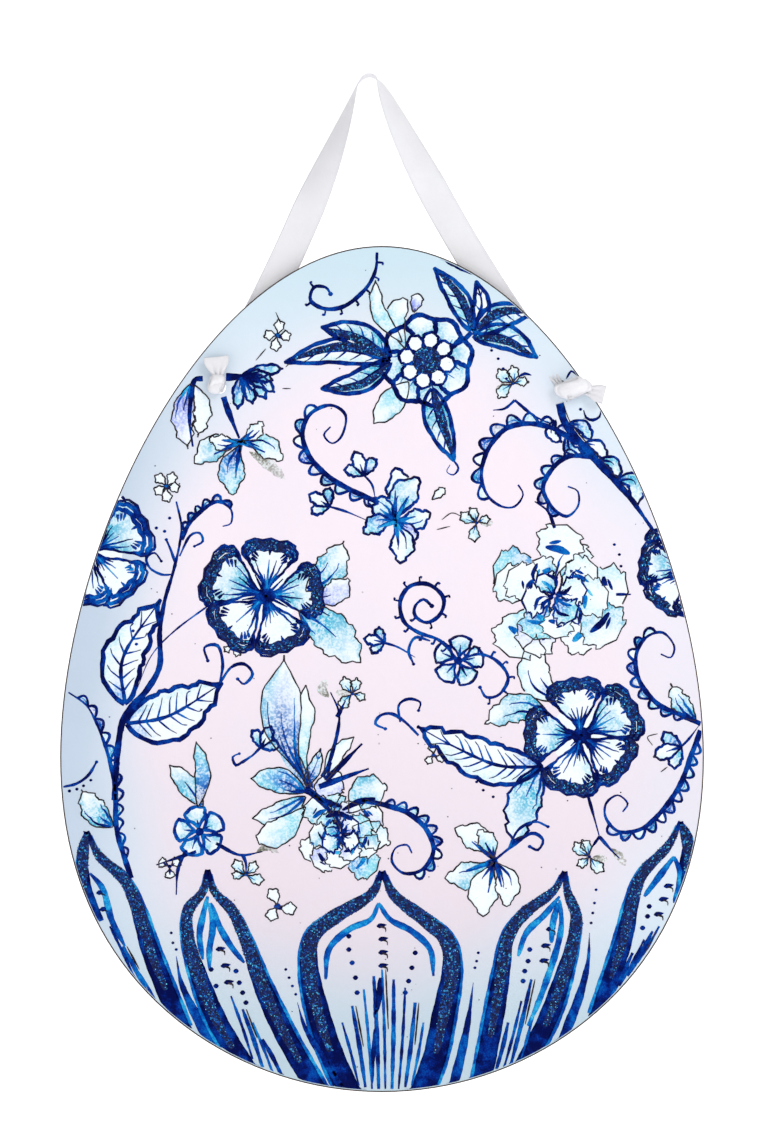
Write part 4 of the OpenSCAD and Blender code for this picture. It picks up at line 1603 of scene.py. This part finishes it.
            self.easel.draw([*run, last], 6.4, 0.30, Pot.BLUE, Ends.WISP)
        self.easel.draw([(-1, 69), (-2, 58), (-4.5, 45)], 4.4, 0.04, Pot.BLUE, Ends.FINE)
        self.easel.draw([(-4.5, 38), (-5.5, 20), (-6, 5)], 2.8, 0.12, Pot.BLUE, Ends.FINE)
        self._beads((-127, 96), (-126, 90), (-124, 86), (-58, 74), (-56, 69), (-54, 64), (-52, 59),
                    (58, 84), (57, 79), (56, 75), (129, 122), (128, 114), (127, 108), (126, 102), size=1.9)

    def _specks(self) -> None:
        """Scatter tiny spatters of ink over the ground."""
        dice = self.easel.dice
        for _ in range(130):
            spot = (dice.uniform(-185, 185), dice.uniform(8, 502))
            if egg_radius(spot) < 0.96:
                self.easel.dot(spot, dice.uniform(0.5, 0.95), 0.2, Pot.INK)


# ---------------------------------------------------------------- geometry trees

class Tree:
    """A Geometry Nodes tree under construction, with short ways to add and join nodes."""

    def __init__(self, name: str, inputs: Iterable[tuple[str, str, object]]) -> None:
        """Start a tree that takes a geometry and the inputs given."""
        self.tree = bpy.data.node_groups.new(name, "GeometryNodeTree")
        face = self.tree.interface
        face.new_socket("Geometry", in_out="INPUT", socket_type="NodeSocketGeometry")
        for label, kind, value in inputs:
            socket = face.new_socket(label, in_out="INPUT", socket_type=kind)
            if value is not None:
                socket.default_value = value
        face.new_socket("Geometry", in_out="OUTPUT", socket_type="NodeSocketGeometry")
        self.enter = self.tree.nodes.new("NodeGroupInput").outputs
        self.leave = self.tree.nodes.new("NodeGroupOutput")

    def node(self, kind: str, feeds: dict[str | int, object] | None = None,
             **values: object) -> bpy.types.Node:
        """Add a node, set its properties, and join or set its inputs by name or number."""
        n = self.tree.nodes.new("GeometryNode" + kind if not kind.startswith("Shader")
                                and not kind.startswith("Function") else kind)
        for key, value in values.items():
            setattr(n, key, value)
        for key, value in (feeds or {}).items():
            if isinstance(value, bpy.types.NodeSocket):
                self.tree.links.new(value, n.inputs[key])
            else:
                n.inputs[key].default_value = value
        return n

    def close(self, geometry: bpy.types.NodeSocket, material: bpy.types.NodeSocket) -> None:
        """End the tree: make instances real and give them their material."""
        real = self.node("RealizeInstances", {0: geometry})
        dressed = self.node("SetMaterial", {"Geometry": real.outputs[0], "Material": material})
        self.tree.links.new(dressed.outputs[0], self.leave.inputs[0])

    def grow(self, source: bpy.types.Mesh, name: str, **values: object) -> bpy.types.Mesh:
        """Run the tree on a mesh and return the plain mesh it makes.

        Args:
            source: the mesh that it starts from.
            name: the new mesh's name.
            values: its inputs, underscores for spaces.

        Returns:
            A mesh with no modifier left on it.
        """
        body = bpy.data.objects.new(name + "_seed", source)
        bpy.context.scene.collection.objects.link(body)
        modifier = body.modifiers.new("Grow", "NODES")
        modifier.node_group = self.tree
        for item in self.tree.interface.items_tree:
            key = item.name.replace(" ", "_")
            if item.in_out == "INPUT" and key in values:
                modifier[item.identifier] = values[key]
        graph = bpy.context.evaluated_depsgraph_get()
        mesh = bpy.data.meshes.new_from_object(body.evaluated_get(graph), depsgraph=graph)
        mesh.name = name
        bpy.data.objects.remove(body)
        return mesh


def stroke_tree() -> Tree:
    """Return the tree that turns drawn lines into low domed strokes on the face."""
    t = Tree("brush_strokes", [("Layer", "NodeSocketFloat", 0.0002), ("Dome", "NodeSocketFloat", 0.12),
                               ("Sink", "NodeSocketFloat", 0.00004), ("Profile Points", "NodeSocketInt", 8),
                               ("Place", "NodeSocketVector", (0, 0, 0)),
                               ("Material", "NodeSocketMaterial", None)])
    geometry, layer, dome, sink, points, place, material = list(t.enter)[:7]
    line = t.node("MeshToCurve", {0: geometry})
    up = t.node("SetCurveNormal", {0: line.outputs[0]}, mode="Z_UP")
    ring = t.node("CurvePrimitiveCircle", {"Resolution": points, "Radius": 1.0})
    half = t.node("InputNamedAttribute", {0: "half_width"}, data_type="FLOAT")
    tube = t.node("CurveToMesh", {"Curve": up.outputs[0], "Profile Curve": ring.outputs[0],
                                  "Scale": half.outputs[0], "Fill Caps": True})
    at = t.node("ShaderNodeSeparateXYZ", {0: t.node("InputPosition").outputs[0]})
    levelled = t.node("ShaderNodeMath", {0: at.outputs[2], 1: 0.0011}, operation="MINIMUM")
    domed = t.node("ShaderNodeMath", {0: levelled.outputs[0], 1: dome}, operation="MULTIPLY")
    raised = t.node("ShaderNodeMath", {0: domed.outputs[0], 1: layer}, operation="ADD")
    lowest = t.node("ShaderNodeMath", {0: sink, 1: -1.0}, operation="MULTIPLY")
    above = t.node("ShaderNodeMath", {0: at.outputs[2], 1: 0.00001}, operation="GREATER_THAN")
    height = t.node("ShaderNodeMix", {0: above.outputs[0], 2: lowest.outputs[0], 3: raised.outputs[0]})
    moved = t.node("ShaderNodeCombineXYZ", {0: at.outputs[0], 1: at.outputs[1], 2: height.outputs[0]})
    low = t.node("SetPosition", {"Geometry": tube.outputs[0], "Position": moved.outputs[0]})
    stood = t.node("Transform", {"Geometry": low.outputs[0], "Translation": place,
                                 "Rotation": (math.pi / 2, 0, 0)})
    smooth = t.node("SetShadeSmooth", {0: stood.outputs[0]})
    t.close(smooth.outputs[0], material)
    return t


def flake_tree() -> Tree:
    """Return the tree that scatters glitter flakes over the front of a bed."""
    t = Tree("glitter_flakes", [("Density", "NodeSocketFloat", 1.2e6), ("Flake Size", "NodeSocketFloat",
                                                                        0.0005),
                                ("Tilt", "NodeSocketFloat", 0.5), ("Seed", "NodeSocketInt", 7),
                                ("Material", "NodeSocketMaterial", None)])
    geometry, density, size, tilt, seed, material = list(t.enter)[:6]
    facing = t.node("ShaderNodeSeparateXYZ", {0: t.node("InputNormal").outputs[0]})
    front = t.node("ShaderNodeMath", {0: facing.outputs[1], 1: -0.6}, operation="LESS_THAN")
    spots = t.node("DistributePointsOnFaces", {"Mesh": geometry, "Selection": front.outputs[0],
                                               "Density": density, "Seed": seed})
    height = t.node("ShaderNodeMath", {0: size, 1: 0.32}, operation="MULTIPLY")
    flake = t.node("MeshCone", {"Vertices": 4, "Radius Top": 0.0, "Radius Bottom": size,
                                "Depth": height.outputs[0]}, fill_type="NGON")
    back = t.node("ShaderNodeMath", {0: tilt, 1: -1.0}, operation="MULTIPLY")
    least_x = t.node("ShaderNodeMath", {0: back.outputs[0], 1: math.pi / 2}, operation="ADD")
    most_x = t.node("ShaderNodeMath", {0: tilt, 1: math.pi / 2}, operation="ADD")
    least = t.node("ShaderNodeCombineXYZ", {0: least_x.outputs[0], 1: 0.0, 2: back.outputs[0]})
    most = t.node("ShaderNodeCombineXYZ", {0: most_x.outputs[0], 1: math.tau, 2: tilt})
    turn = t.node("FunctionNodeRandomValue", {0: least.outputs[0], 1: most.outputs[0], "Seed": seed},
                  data_type="FLOAT_VECTOR")
    grade = t.node("FunctionNodeRandomValue", {2: 0.55, 3: 1.25, "Seed": 3}, data_type="FLOAT")
    tone = t.node("FunctionNodeRandomValue", {2: 0.0, 3: 1.0, "Seed": 5}, data_type="FLOAT")
    placed = t.node("InstanceOnPoints", {"Points": spots.outputs[0], "Instance": flake.outputs[0],
                                         "Rotation": turn.outputs[0], "Scale": grade.outputs[1]})
    toned = t.node("StoreNamedAttribute", {"Geometry": placed.outputs[0], "Name": "flake_tone",
                                           "Value": tone.outputs[1]}, data_type="FLOAT", domain="INSTANCE")
    t.close(toned.outputs[0], material)
    return t


def strokes_mesh(strokes: Sequence[Stroke], name: str) -> bpy.types.Mesh:
    """Return a mesh of bare edges along the strokes, with their half-widths and tones."""
    points, edges, half, tone = [], [], [], []
    for stroke in strokes:
        start = len(points)
        points += [(x * MM, y * MM, 0.0) for x, y in stroke.run]
        edges += [(i, i + 1) for i in range(start, len(points) - 1)]
        half += [h * MM for h in stroke.half]
        tone += stroke.tone
    mesh = bpy.data.meshes.new(name)
    mesh.from_pydata(points, edges, [])
    for label, values in (("half_width", half), ("tone", tone)):
        mesh.attributes.new(label, "FLOAT", "POINT").data.foreach_set("value", values)
    return mesh


def patches_mesh(patches: Sequence[Patch], name: str) -> bpy.types.Mesh:
    """Return closed thin slabs standing on the face, one for each patch, coloured point by point."""
    points, faces, colours = [], [], []
    for patch in patches:
        base, cols = len(points), len(patch.rows[0])
        for row, shades in zip(patch.rows, patch.colours):
            for (u, v), shade in zip(row, shades):
                points.append((EGG_X + u * MM, FACE_Y - patch.lift * MM, EGG_FOOT + v * MM))
                colours.append(shade)
        grid = [[base + i * cols + j for j in range(cols)] for i in range(len(patch.rows))]
        for a, b in zip(grid, grid[1:]):
            faces += [(a[j], a[j + 1], b[j + 1], b[j]) for j in range(cols - 1)]
        rim = patch.rim()
        skirt = len(points)
        for i, j in rim:
            u, v = patch.rows[i][j]
            points.append((EGG_X + u * MM, FACE_Y + 0.04 * MM, EGG_FOOT + v * MM))
            colours.append(patch.colours[i][j])
        k = len(rim)
        for n, (i, j) in enumerate(rim):
            ni, nj = rim[(n + 1) % k]
            faces.append((grid[i][j], grid[ni][nj], skirt + (n + 1) % k, skirt + n))
        faces.append(tuple(skirt + n for n in range(k)))
    mesh = bpy.data.meshes.new(name)
    mesh.from_pydata(points, [], faces)
    mesh.attributes.new("wash", "FLOAT_COLOR", "POINT").data.foreach_set(
        "color", [c for shade in colours for c in (*shade, 1.0)])
    outwards(mesh)
    return mesh


def outwards(mesh: bpy.types.Mesh) -> None:
    """Turn the faces of closed shells outwards."""
    bm = bmesh.new()
    bm.from_mesh(mesh)
    bmesh.ops.recalc_face_normals(bm, faces=bm.faces)
    bm.to_mesh(mesh)
    bm.free()


def trimmed(mesh: bpy.types.Mesh) -> bpy.types.Mesh:
    """Pull in every point that lies past the edge of the paint, and return the mesh."""
    for v in mesh.vertices:
        p = ((v.co.x - EGG_X) / MM, (v.co.z - EGG_FOOT) / MM)
        if egg_radius(p) > PAINT_EDGE:
            u, w = held_inside(p)
            v.co.x, v.co.z = EGG_X + u * MM, EGG_FOOT + w * MM
    return mesh


def joined(name: str, parts: Sequence[bpy.types.Mesh]) -> bpy.types.Mesh:
    """Return one mesh holding the parts' points and faces."""
    points, faces = [], []
    for part in parts:
        base = len(points)
        points += [v.co[:] for v in part.vertices]
        faces += [tuple(base + i for i in f.vertices) for f in part.polygons]
    mesh = bpy.data.meshes.new(name)
    mesh.from_pydata(points, [], faces)
    return mesh


def piece(name: str, mesh: bpy.types.Mesh, material: bpy.types.Material | None = None,
          smooth: bool = False) -> bpy.types.Object:
    """Return an object at the origin that shows a mesh in a material."""
    mesh.name = name
    if material is not None:
        mesh.materials.clear()
        mesh.materials.append(material)
    if smooth:
        mesh.shade_smooth()
    body = bpy.data.objects.new(name, mesh)
    bpy.context.scene.collection.objects.link(body)
    return body


def dress(node: str, material: bpy.types.Material) -> None:
    """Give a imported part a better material."""
    body = bpy.data.objects[node]
    for slot in body.material_slots:
        slot.material = material
    if not body.material_slots:
        body.data.materials.append(material)


# ---------------------------------------------------------------- sub-assemblies

@dataclass
class PaintedBoard:
    """The cut board with its paint: washes, strokes, pen lines and glitter."""

    stroke_layer: float = 0.16
    pen_layer: float = 0.21
    glitter_layer: float = 0.29
    flakes_per_mm2: float = 1.5
    flake_size: float = 0.46

    def build(self, fx: Effects) -> list[bpy.types.Object]:
        """Build and dress the board's paint.

        Args:
            fx: the shader groups to share.

        Returns:
            The new pieces, all riding on the board.
        """
        dress("egg_board", CutBoard().build(fx))
        dress("painted_face", GroundPaint().build(fx))
        easel = Painting().compose()
        tree = stroke_tree()
        where = Vector((EGG_X, FACE_Y, EGG_FOOT))
        shared = dict(Sink=0.04 * MM, Place=where)
        blue = tree.grow(strokes_mesh(easel.strokes[Pot.BLUE], "blue_lines"), "blue_brush_strokes",
                         Layer=self.stroke_layer * MM, Dome=0.10, Profile_Points=6,
                         Material=BluePaint().build(fx), **shared)
        pen = tree.grow(strokes_mesh(easel.strokes[Pot.INK], "pen_runs"), "pen_lines",
                        Layer=self.pen_layer * MM, Dome=0.15, Profile_Points=6,
                        Material=PenInk().build(fx), **shared)
        bed_paint = GlitterBed().build(fx)
        bands = tree.grow(strokes_mesh(easel.strokes[Pot.GLITTER], "glitter_runs"), "glitter_bands",
                          Layer=self.glitter_layer * MM, Dome=0.06, Profile_Points=8,
                          Material=bed_paint, **shared)
        for k, patch in enumerate(easel.sparkle):
            patch.lift = self.glitter_layer + 0.008 * (k % 6)
        bed = joined("glitter_bed", [trimmed(bands), patches_mesh(easel.sparkle, "glitter_patches")])
        flakes = flake_tree().grow(bed.copy(), "glitter_flakes", Density=self.flakes_per_mm2 * 1e6,
                                   Flake_Size=self.flake_size * MM, Tilt=0.5, Seed=7,
                                   Material=GlitterFlake().build(fx))
        made = [piece("painted_washes", patches_mesh(easel.washes, "washes"), WashPaint().build(fx)),
                piece("blue_brush_strokes", trimmed(blue)), piece("pen_lines", trimmed(pen)),
                piece("glitter_bed", bed, bed_paint), piece("glitter_flakes", flakes)]
        for body in made:
            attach(body, "board")
        return made


@dataclass
class Station:
    """One cross-section of a swept ribbon."""

    at: Vector
    across: Vector
    width: float
    pleat: float = 0.0
    curl: float = 0.0


def swept(name: str, stations: Sequence[Station], thick: float, columns: int = 24) -> bpy.types.Mesh:
    """Return a closed thin ribbon swept through stations, in millimetres, with its own UV map.

    Args:
        name: the mesh's name.
        stations: its cross-sections from end to end.
        thick: the cloth's thickness.
        columns: how many faces it has across.

    Returns:
        The mesh, in metres.
    """
    n, along, top, under = len(stations), [0.0], [], []
    for i, st in enumerate(stations):
        run = (stations[min(i + 1, n - 1)].at - stations[max(i - 1, 0)].at).normalized()
        out = run.cross(st.across).normalized()
        if i:
            along.append(along[-1] + (st.at - stations[i - 1].at).length)
        mids = []
        for k in range(columns + 1):
            s = 2 * k / columns - 1
            rise = st.pleat * math.cos(3 * math.pi * s) + st.curl * (s * s - 0.34)
            mids.append(st.at + st.across * (st.width / 2 * s) + out * rise)
        for k, mid in enumerate(mids):
            slope = (mids[min(k + 1, columns)] - mids[max(k - 1, 0)]).normalized()
            lift = run.cross(slope).normalized() * (thick / 2)
            top.append(mid + lift)
            under.append(mid - lift)
    points = [p * MM for p in top] + [p * MM for p in under]
    m, low = columns + 1, n * (columns + 1)
    faces = []
    for i in range(n - 1):
        for k in range(columns):
            a = i * m + k
            faces += [(a, a + 1, a + m + 1, a + m), (low + a, low + a + m, low + a + m + 1, low + a + 1)]
        for a in (i * m, i * m + columns):
            faces.append((a, a + m, low + a + m, low + a))
    for row in (0, (n - 1) * m):
        faces += [(row + k, low + row + k, low + row + k + 1, row + k + 1) for k in range(columns)]
    mesh = bpy.data.meshes.new(name)
    mesh.from_pydata(points, [], faces)
    outwards(mesh)
    layer = mesh.uv_layers.new(name="ribbon_uv")
    for loop in mesh.loops:
        i, k = divmod(loop.vertex_index % low, m)
        layer.data[loop.index].uv = (k / columns * RIBBON_WIDE * MM, along[i] * MM)
    return mesh


def middle(node: str) -> Vector:
    """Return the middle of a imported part, in millimetres."""
    lo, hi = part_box(node)
    return (Vector(lo) + Vector(hi)) / 2 / MM


@dataclass
class SatinLoop:
    """The ribbon from hole to hole: gathered through the board, up its back and over the hook."""

    width: float = RIBBON_WIDE
    gathered: float = 7.0
    thick: float = CLOTH_THICK
    depth: float = 3.8
    left_bow: Point = (-41.0, -100.0)
    right_bow: Point = (49.0, -100.0)
    left_crown: Point = (-9.0, -9.5)
    right_crown: Point = (8.5, -7.5)
    left_open: float = -82.0
    right_open: float = -66.0
    leg_steps: int = 60
    crown_steps: int = 28

    def _run(self, left: Vector, right: Vector) -> list[Point]:
        """Return the ribbon's run seen from the front, from the left hole to the right one."""
        lf, rf = Vector((left.x, left.z)), Vector((right.x, right.z))
        lb, rb = Vector(self.left_bow), Vector(self.right_bow)
        lc, rc = Vector(self.left_crown), Vector(self.right_crown)
        rise, fall = (lc - lb).normalized(), (rb - rc).normalized()
        pull = (8 * 0.4 - 4 * (lc.y + rc.y)) / (3 * (rise.y - fall.y))
        a, b = lc + rise * pull, rc - fall * pull
        legs, crown = self.leg_steps, self.crown_steps
        pts = [(1 - t) ** 2 * lf + 2 * t * (1 - t) * lb + t * t * lc for t in (i / legs for i in range(legs))]
        pts += [(1 - t) ** 3 * lc + 3 * t * (1 - t) ** 2 * a + 3 * t * t * (1 - t) * b + t ** 3 * rc
                for t in (i / crown for i in range(crown))]
        pts += [(1 - t) ** 2 * rc + 2 * t * (1 - t) * rb + t * t * rf
                for t in (i / legs for i in range(legs + 1))]
        return [(p.x, p.y) for p in pts]

    def stations(self, left: Vector, right: Vector) -> list[Station]:
        """Return the cross-sections from inside the left knot round to inside the right one."""
        run = self._run(left, right)
        half, n, top = self.leg_steps + self.crown_steps // 2, len(run), BOARD_HI[2] / MM
        out: list[Station] = []
        for i, (x, z) in enumerate(run):
            if z < left.z + 5:
                continue
            a, b = Vector(run[max(i - 1, 0)]), Vector(run[min(i + 1, n - 1)])
            q = (b - a).normalized()
            first = i < half
            share = max(0.0, min(1.0, (z + 2) / ((self.left_open if first else self.right_open) + 2)))
            shown = 1 - (1 - share) ** 1.6 if first else 1 - (1 - math.sqrt(share)) ** 1.15
            turn = math.asin(shown) / (math.pi / 2)
            slant = Vector((q.y, 0, -q.x)) if first else Vector((-q.y, 0, q.x))
            level = ease(left.z + 2, left.z + 26, z)
            flat = (slant * level + Vector((1, 0, 0)) * (1 - level)).normalized()
            side, angle = (1 if first else -1), turn * math.pi / 2
            across = Vector((flat.x * math.sin(angle) * side, -math.cos(angle),
                             flat.z * math.sin(angle) * side))
            open_up = ease(left.z + 2, left.z + 40, z)
            pleat = 1.5 * (1 - open_up) ** 1.3
            out.append(Station(Vector((x, self.depth * max(0, min(1, z / top)) + pleat, z)), across,
                               lerp(self.gathered, self.width, open_up), pleat,
                               0.9 * math.sin(math.pi * turn) * ease(-120, -60, z) + 0.25 * open_up))
        through = ((5.2, 3.8), (4.7, 2.3), (3.7, 1.0), (2.2, 0.2), (0.0, 0.0), (-1.8, 0.0), (-3.6, 0.0),
                   (-5.4, 0.0))
        for hole, side, place in ((left, 1, 0), (right, -1, len(out))):
            bend = [Station(Vector((hole.x, y, hole.z + dz)), Vector((side, 0, 0)),
                            self.gathered - (0.4 if y > -3 else 3.0), 1.45 if y > -3 else 0.5) for y,
                            dz in through]
            out[place:place] = bend[::-1] if place == 0 else bend
        return out

    def build(self, satin: bpy.types.Material) -> bpy.types.Object:
        """Build the loop from hole to hole and hide the imported ribbon parts that it replaces."""
        left, right = middle("left_ribbon_pass"), middle("right_ribbon_pass")
        stations = self.stations(left, right)
        body = piece("satin_ribbon_loop", swept("satin_ribbon_loop", stations, self.thick), satin, True)
        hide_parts("ribbon_loop", "left_ribbon_pass", "right_ribbon_pass")
        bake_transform(body)
        return body


@dataclass
class Knot:
    """An overhand knot pulled tight on the front of a hole, with its short free end."""

    name: str
    node: str
    tail_node: str
    size: tuple[float, float, float]
    slant: float
    tail_from: tuple[float, float, float]
    tail_turn: float
    tail_width: float
    tail_length: float = 13.0

    def _bundle(self) -> bpy.types.Mesh:
        """Return the folded ribbon swept through the knot."""
        centre = middle(self.node)
        tilt = Matrix.Rotation(math.radians(-self.slant), 3, "Y")
        path = []
        for i in range(KNOT_STEPS + 1):
            t = lerp(-2.08, 2.08, i / KNOT_STEPS)
            path.append(Vector((t ** 5 - 10 * t, t ** 4 - 4 * t * t + 1.4, t ** 3 - 3 * t)))
        span = Vector([max(abs(p[k]) for p in path) for k in range(3)])
        lo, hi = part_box(self.node)
        room = (Vector(hi) - Vector(lo)) / 2 / MM * 0.985
        fold = Vector((self.size[0] * 0.40, self.size[1] * 0.27, self.size[2] * 0.34))
        path = [tilt @ Vector((p.x / span.x * fold.x, p.y / span.y * fold.y, p.z / span.z * fold.z))
                + centre for p in path]
        ring, points, faces = 18, [], []
        for i, p in enumerate(path):
            run = (path[min(i + 1, KNOT_STEPS)] - path[max(i - 1, 0)]).normalized()
            away = (p - centre) - run * (p - centre).dot(run)
            away = away.normalized() if away.length > 0.05 else run.orthogonal().normalized()
            wide = run.cross(away).normalized()
            for k in range(ring):
                a = math.tau * k / ring
                ripple = 1 + 0.11 * math.cos(7 * a + 0.05 * i)
                spot = (p + wide * (self.size[2] * 0.30 * math.cos(a) * ripple)
                        + away * (self.size[1] * 0.20 * math.sin(a) * ripple)) - centre
                reach = math.hypot(spot.x / room.x, spot.y / room.y, spot.z / room.z)
                held = min(reach, 0.82 + 0.18 * math.tanh((reach - 0.82) / 0.18)) / max(reach, 0.01)
                points.append((centre + spot * held) * MM)
        for i in range(KNOT_STEPS):
            for k in range(ring):
                a, b = i * ring + k, i * ring + (k + 1) % ring
                faces.append((a, b, b + ring, a + ring))
        faces += [tuple(range(ring - 1, -1, -1)), tuple(range(KNOT_STEPS * ring, (KNOT_STEPS + 1) * ring))]
        mesh = bpy.data.meshes.new(self.name)
        mesh.from_pydata(points, [], faces)
        outwards(mesh)
        layer = mesh.uv_layers.new(name="ribbon_uv")
        for loop in mesh.loops:
            i, k = divmod(loop.vertex_index, ring)
            layer.data[loop.index].uv = (0.001 * k, 0.0008 * i)
        return mesh

    def build(self, satin: bpy.types.Material) -> list[bpy.types.Object]:
        """Build the knot and its free end, both riding on the board."""
        knot = piece(self.name, self._bundle(), satin, True)
        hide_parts(self.node)
        centre = middle(self.node)
        root = centre + Vector(self.tail_from)
        a = math.radians(self.tail_turn)
        aim, across = Vector((math.cos(a), 0, math.sin(a))), Vector((-math.sin(a), 0, math.cos(a)))
        stations = []
        for i in range(25):
            s = i / 24
            stations.append(Station(root + aim * (self.tail_length * s)
                                    + Vector((0, -1.6 * math.sin(math.radians(150 * s)), 0)), across,
                                    self.tail_width * (0.42 + 0.58 * ease(0, 0.8, s)), 1.0 * (1 - s) ** 1.5,
                                    0.7 * s))
        end = piece(self.name + "_free_end", swept(self.name + "_free_end", stations, CLOTH_THICK, 18), satin,
                    True)
        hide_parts(self.tail_node)
        for body in (knot, end):
            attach(body, "board")
        return [knot, end]


@dataclass
class Studio:
    """Pale floor, soft lights and the camera square to the front."""

    framed_height: float = 0.6797
    middle_x: float = 0.0114
    middle_z: float = -0.2947
    distance: float = 2.2

    def build(self) -> None:
        """Set up the sweep, the lights, the air and the camera."""
        self._sweep()
        self._light("key", (1.3, -1.9, 1.1), 1.0, 17.0)
        self._light("fill", (-1.6, -2.2, 0.1), 2.0, 3.0)
        world = bpy.data.worlds.new("air")
        bpy.context.scene.world = world
        world.use_nodes = True
        sky = world.node_tree.nodes["Background"]
        sky.inputs[0].default_value, sky.inputs[1].default_value = (1.0, 1.0, 1.0, 1.0), 0.66
        bpy.context.scene.view_settings.view_transform = "Standard"
        lens = bpy.data.cameras.new("camera")
        lens.sensor_fit, lens.sensor_height = "VERTICAL", 24.0
        lens.lens = 24.0 * self.distance / self.framed_height
        eye = bpy.data.objects.new("camera", lens)
        bpy.context.scene.collection.objects.link(eye)
        eye.location = (self.middle_x, FACE_Y - self.distance, self.middle_z)
        eye.rotation_euler = (math.pi / 2, 0, 0)
        bpy.context.scene.camera = eye

    def _sweep(self) -> None:
        """Build the floor and the wall behind as one curved sheet."""
        profile = [(-5.0, -0.72), (3.4, -0.72)]
        profile += [(3.4 + 0.8 * math.sin(a), 0.08 - 0.8 * math.cos(a))
                    for a in (math.radians(7.5 * k) for k in range(1, 13))]
        profile.append((4.2, 5.0))
        points = [(x, y, z) for y, z in profile for x in (-6.0, 6.0)]
        faces = [(2 * i, 2 * i + 1, 2 * i + 3, 2 * i + 2) for i in range(len(profile) - 1)]
        mesh = bpy.data.meshes.new("sweep")
        mesh.from_pydata(points, [], faces)
        s = Shader("white_sweep")
        pale = s.mixed(s.noise(3.0, 2), (0.93, 0.93, 0.935), (0.95, 0.95, 0.955))
        s.feed(s.bsdf.inputs["Base Color"], pale)
        s.bsdf.inputs["Roughness"].default_value = 0.9
        s.bsdf.inputs["Emission Strength"].default_value = 0.45
        s.bsdf.inputs["Emission Color"].default_value = (1, 1, 1, 1)
        piece("sweep", mesh, s.material, True)

    @staticmethod
    def _light(name: str, at: tuple[float, float, float], size: float, power: float) -> None:
        """Place one square soft light aimed at the board's middle."""
        lamp = bpy.data.lights.new(name, "AREA")
        lamp.size, lamp.energy = size, power
        body = bpy.data.objects.new(name, lamp)
        bpy.context.scene.collection.objects.link(body)
        body.location = at
        body.rotation_euler = (Vector((0, 0, -0.35)) - Vector(at)).to_track_quat("-Z", "Y").to_euler()


def main() -> None:
    """Build the studio, the ribbon and the painted board."""
    logging.basicConfig(level=logging.INFO, format="%(name)s: %(message)s")
    fx = Effects()
    Studio().build()
    satin = SatinRibbon().build(fx)
    made = [SatinLoop().build(satin)]
    made += Knot("left_satin_knot", "left_knot", "left_tail", (15, 9, 15), 28, (1, 0.8, 3.5), 96,
                 15).build(satin)
    made += Knot("right_satin_knot", "right_knot", "right_tail", (25, 11, 18), -18, (6, 1.2, -1), -14,
                 11).build(satin)
    made += PaintedBoard().build(fx)
    for body in made:
        body.data.calc_loop_triangles()
        LOG.info("%s: %d triangles", body.name, len(body.data.loop_triangles))


if __name__ == "__main__":
    main()
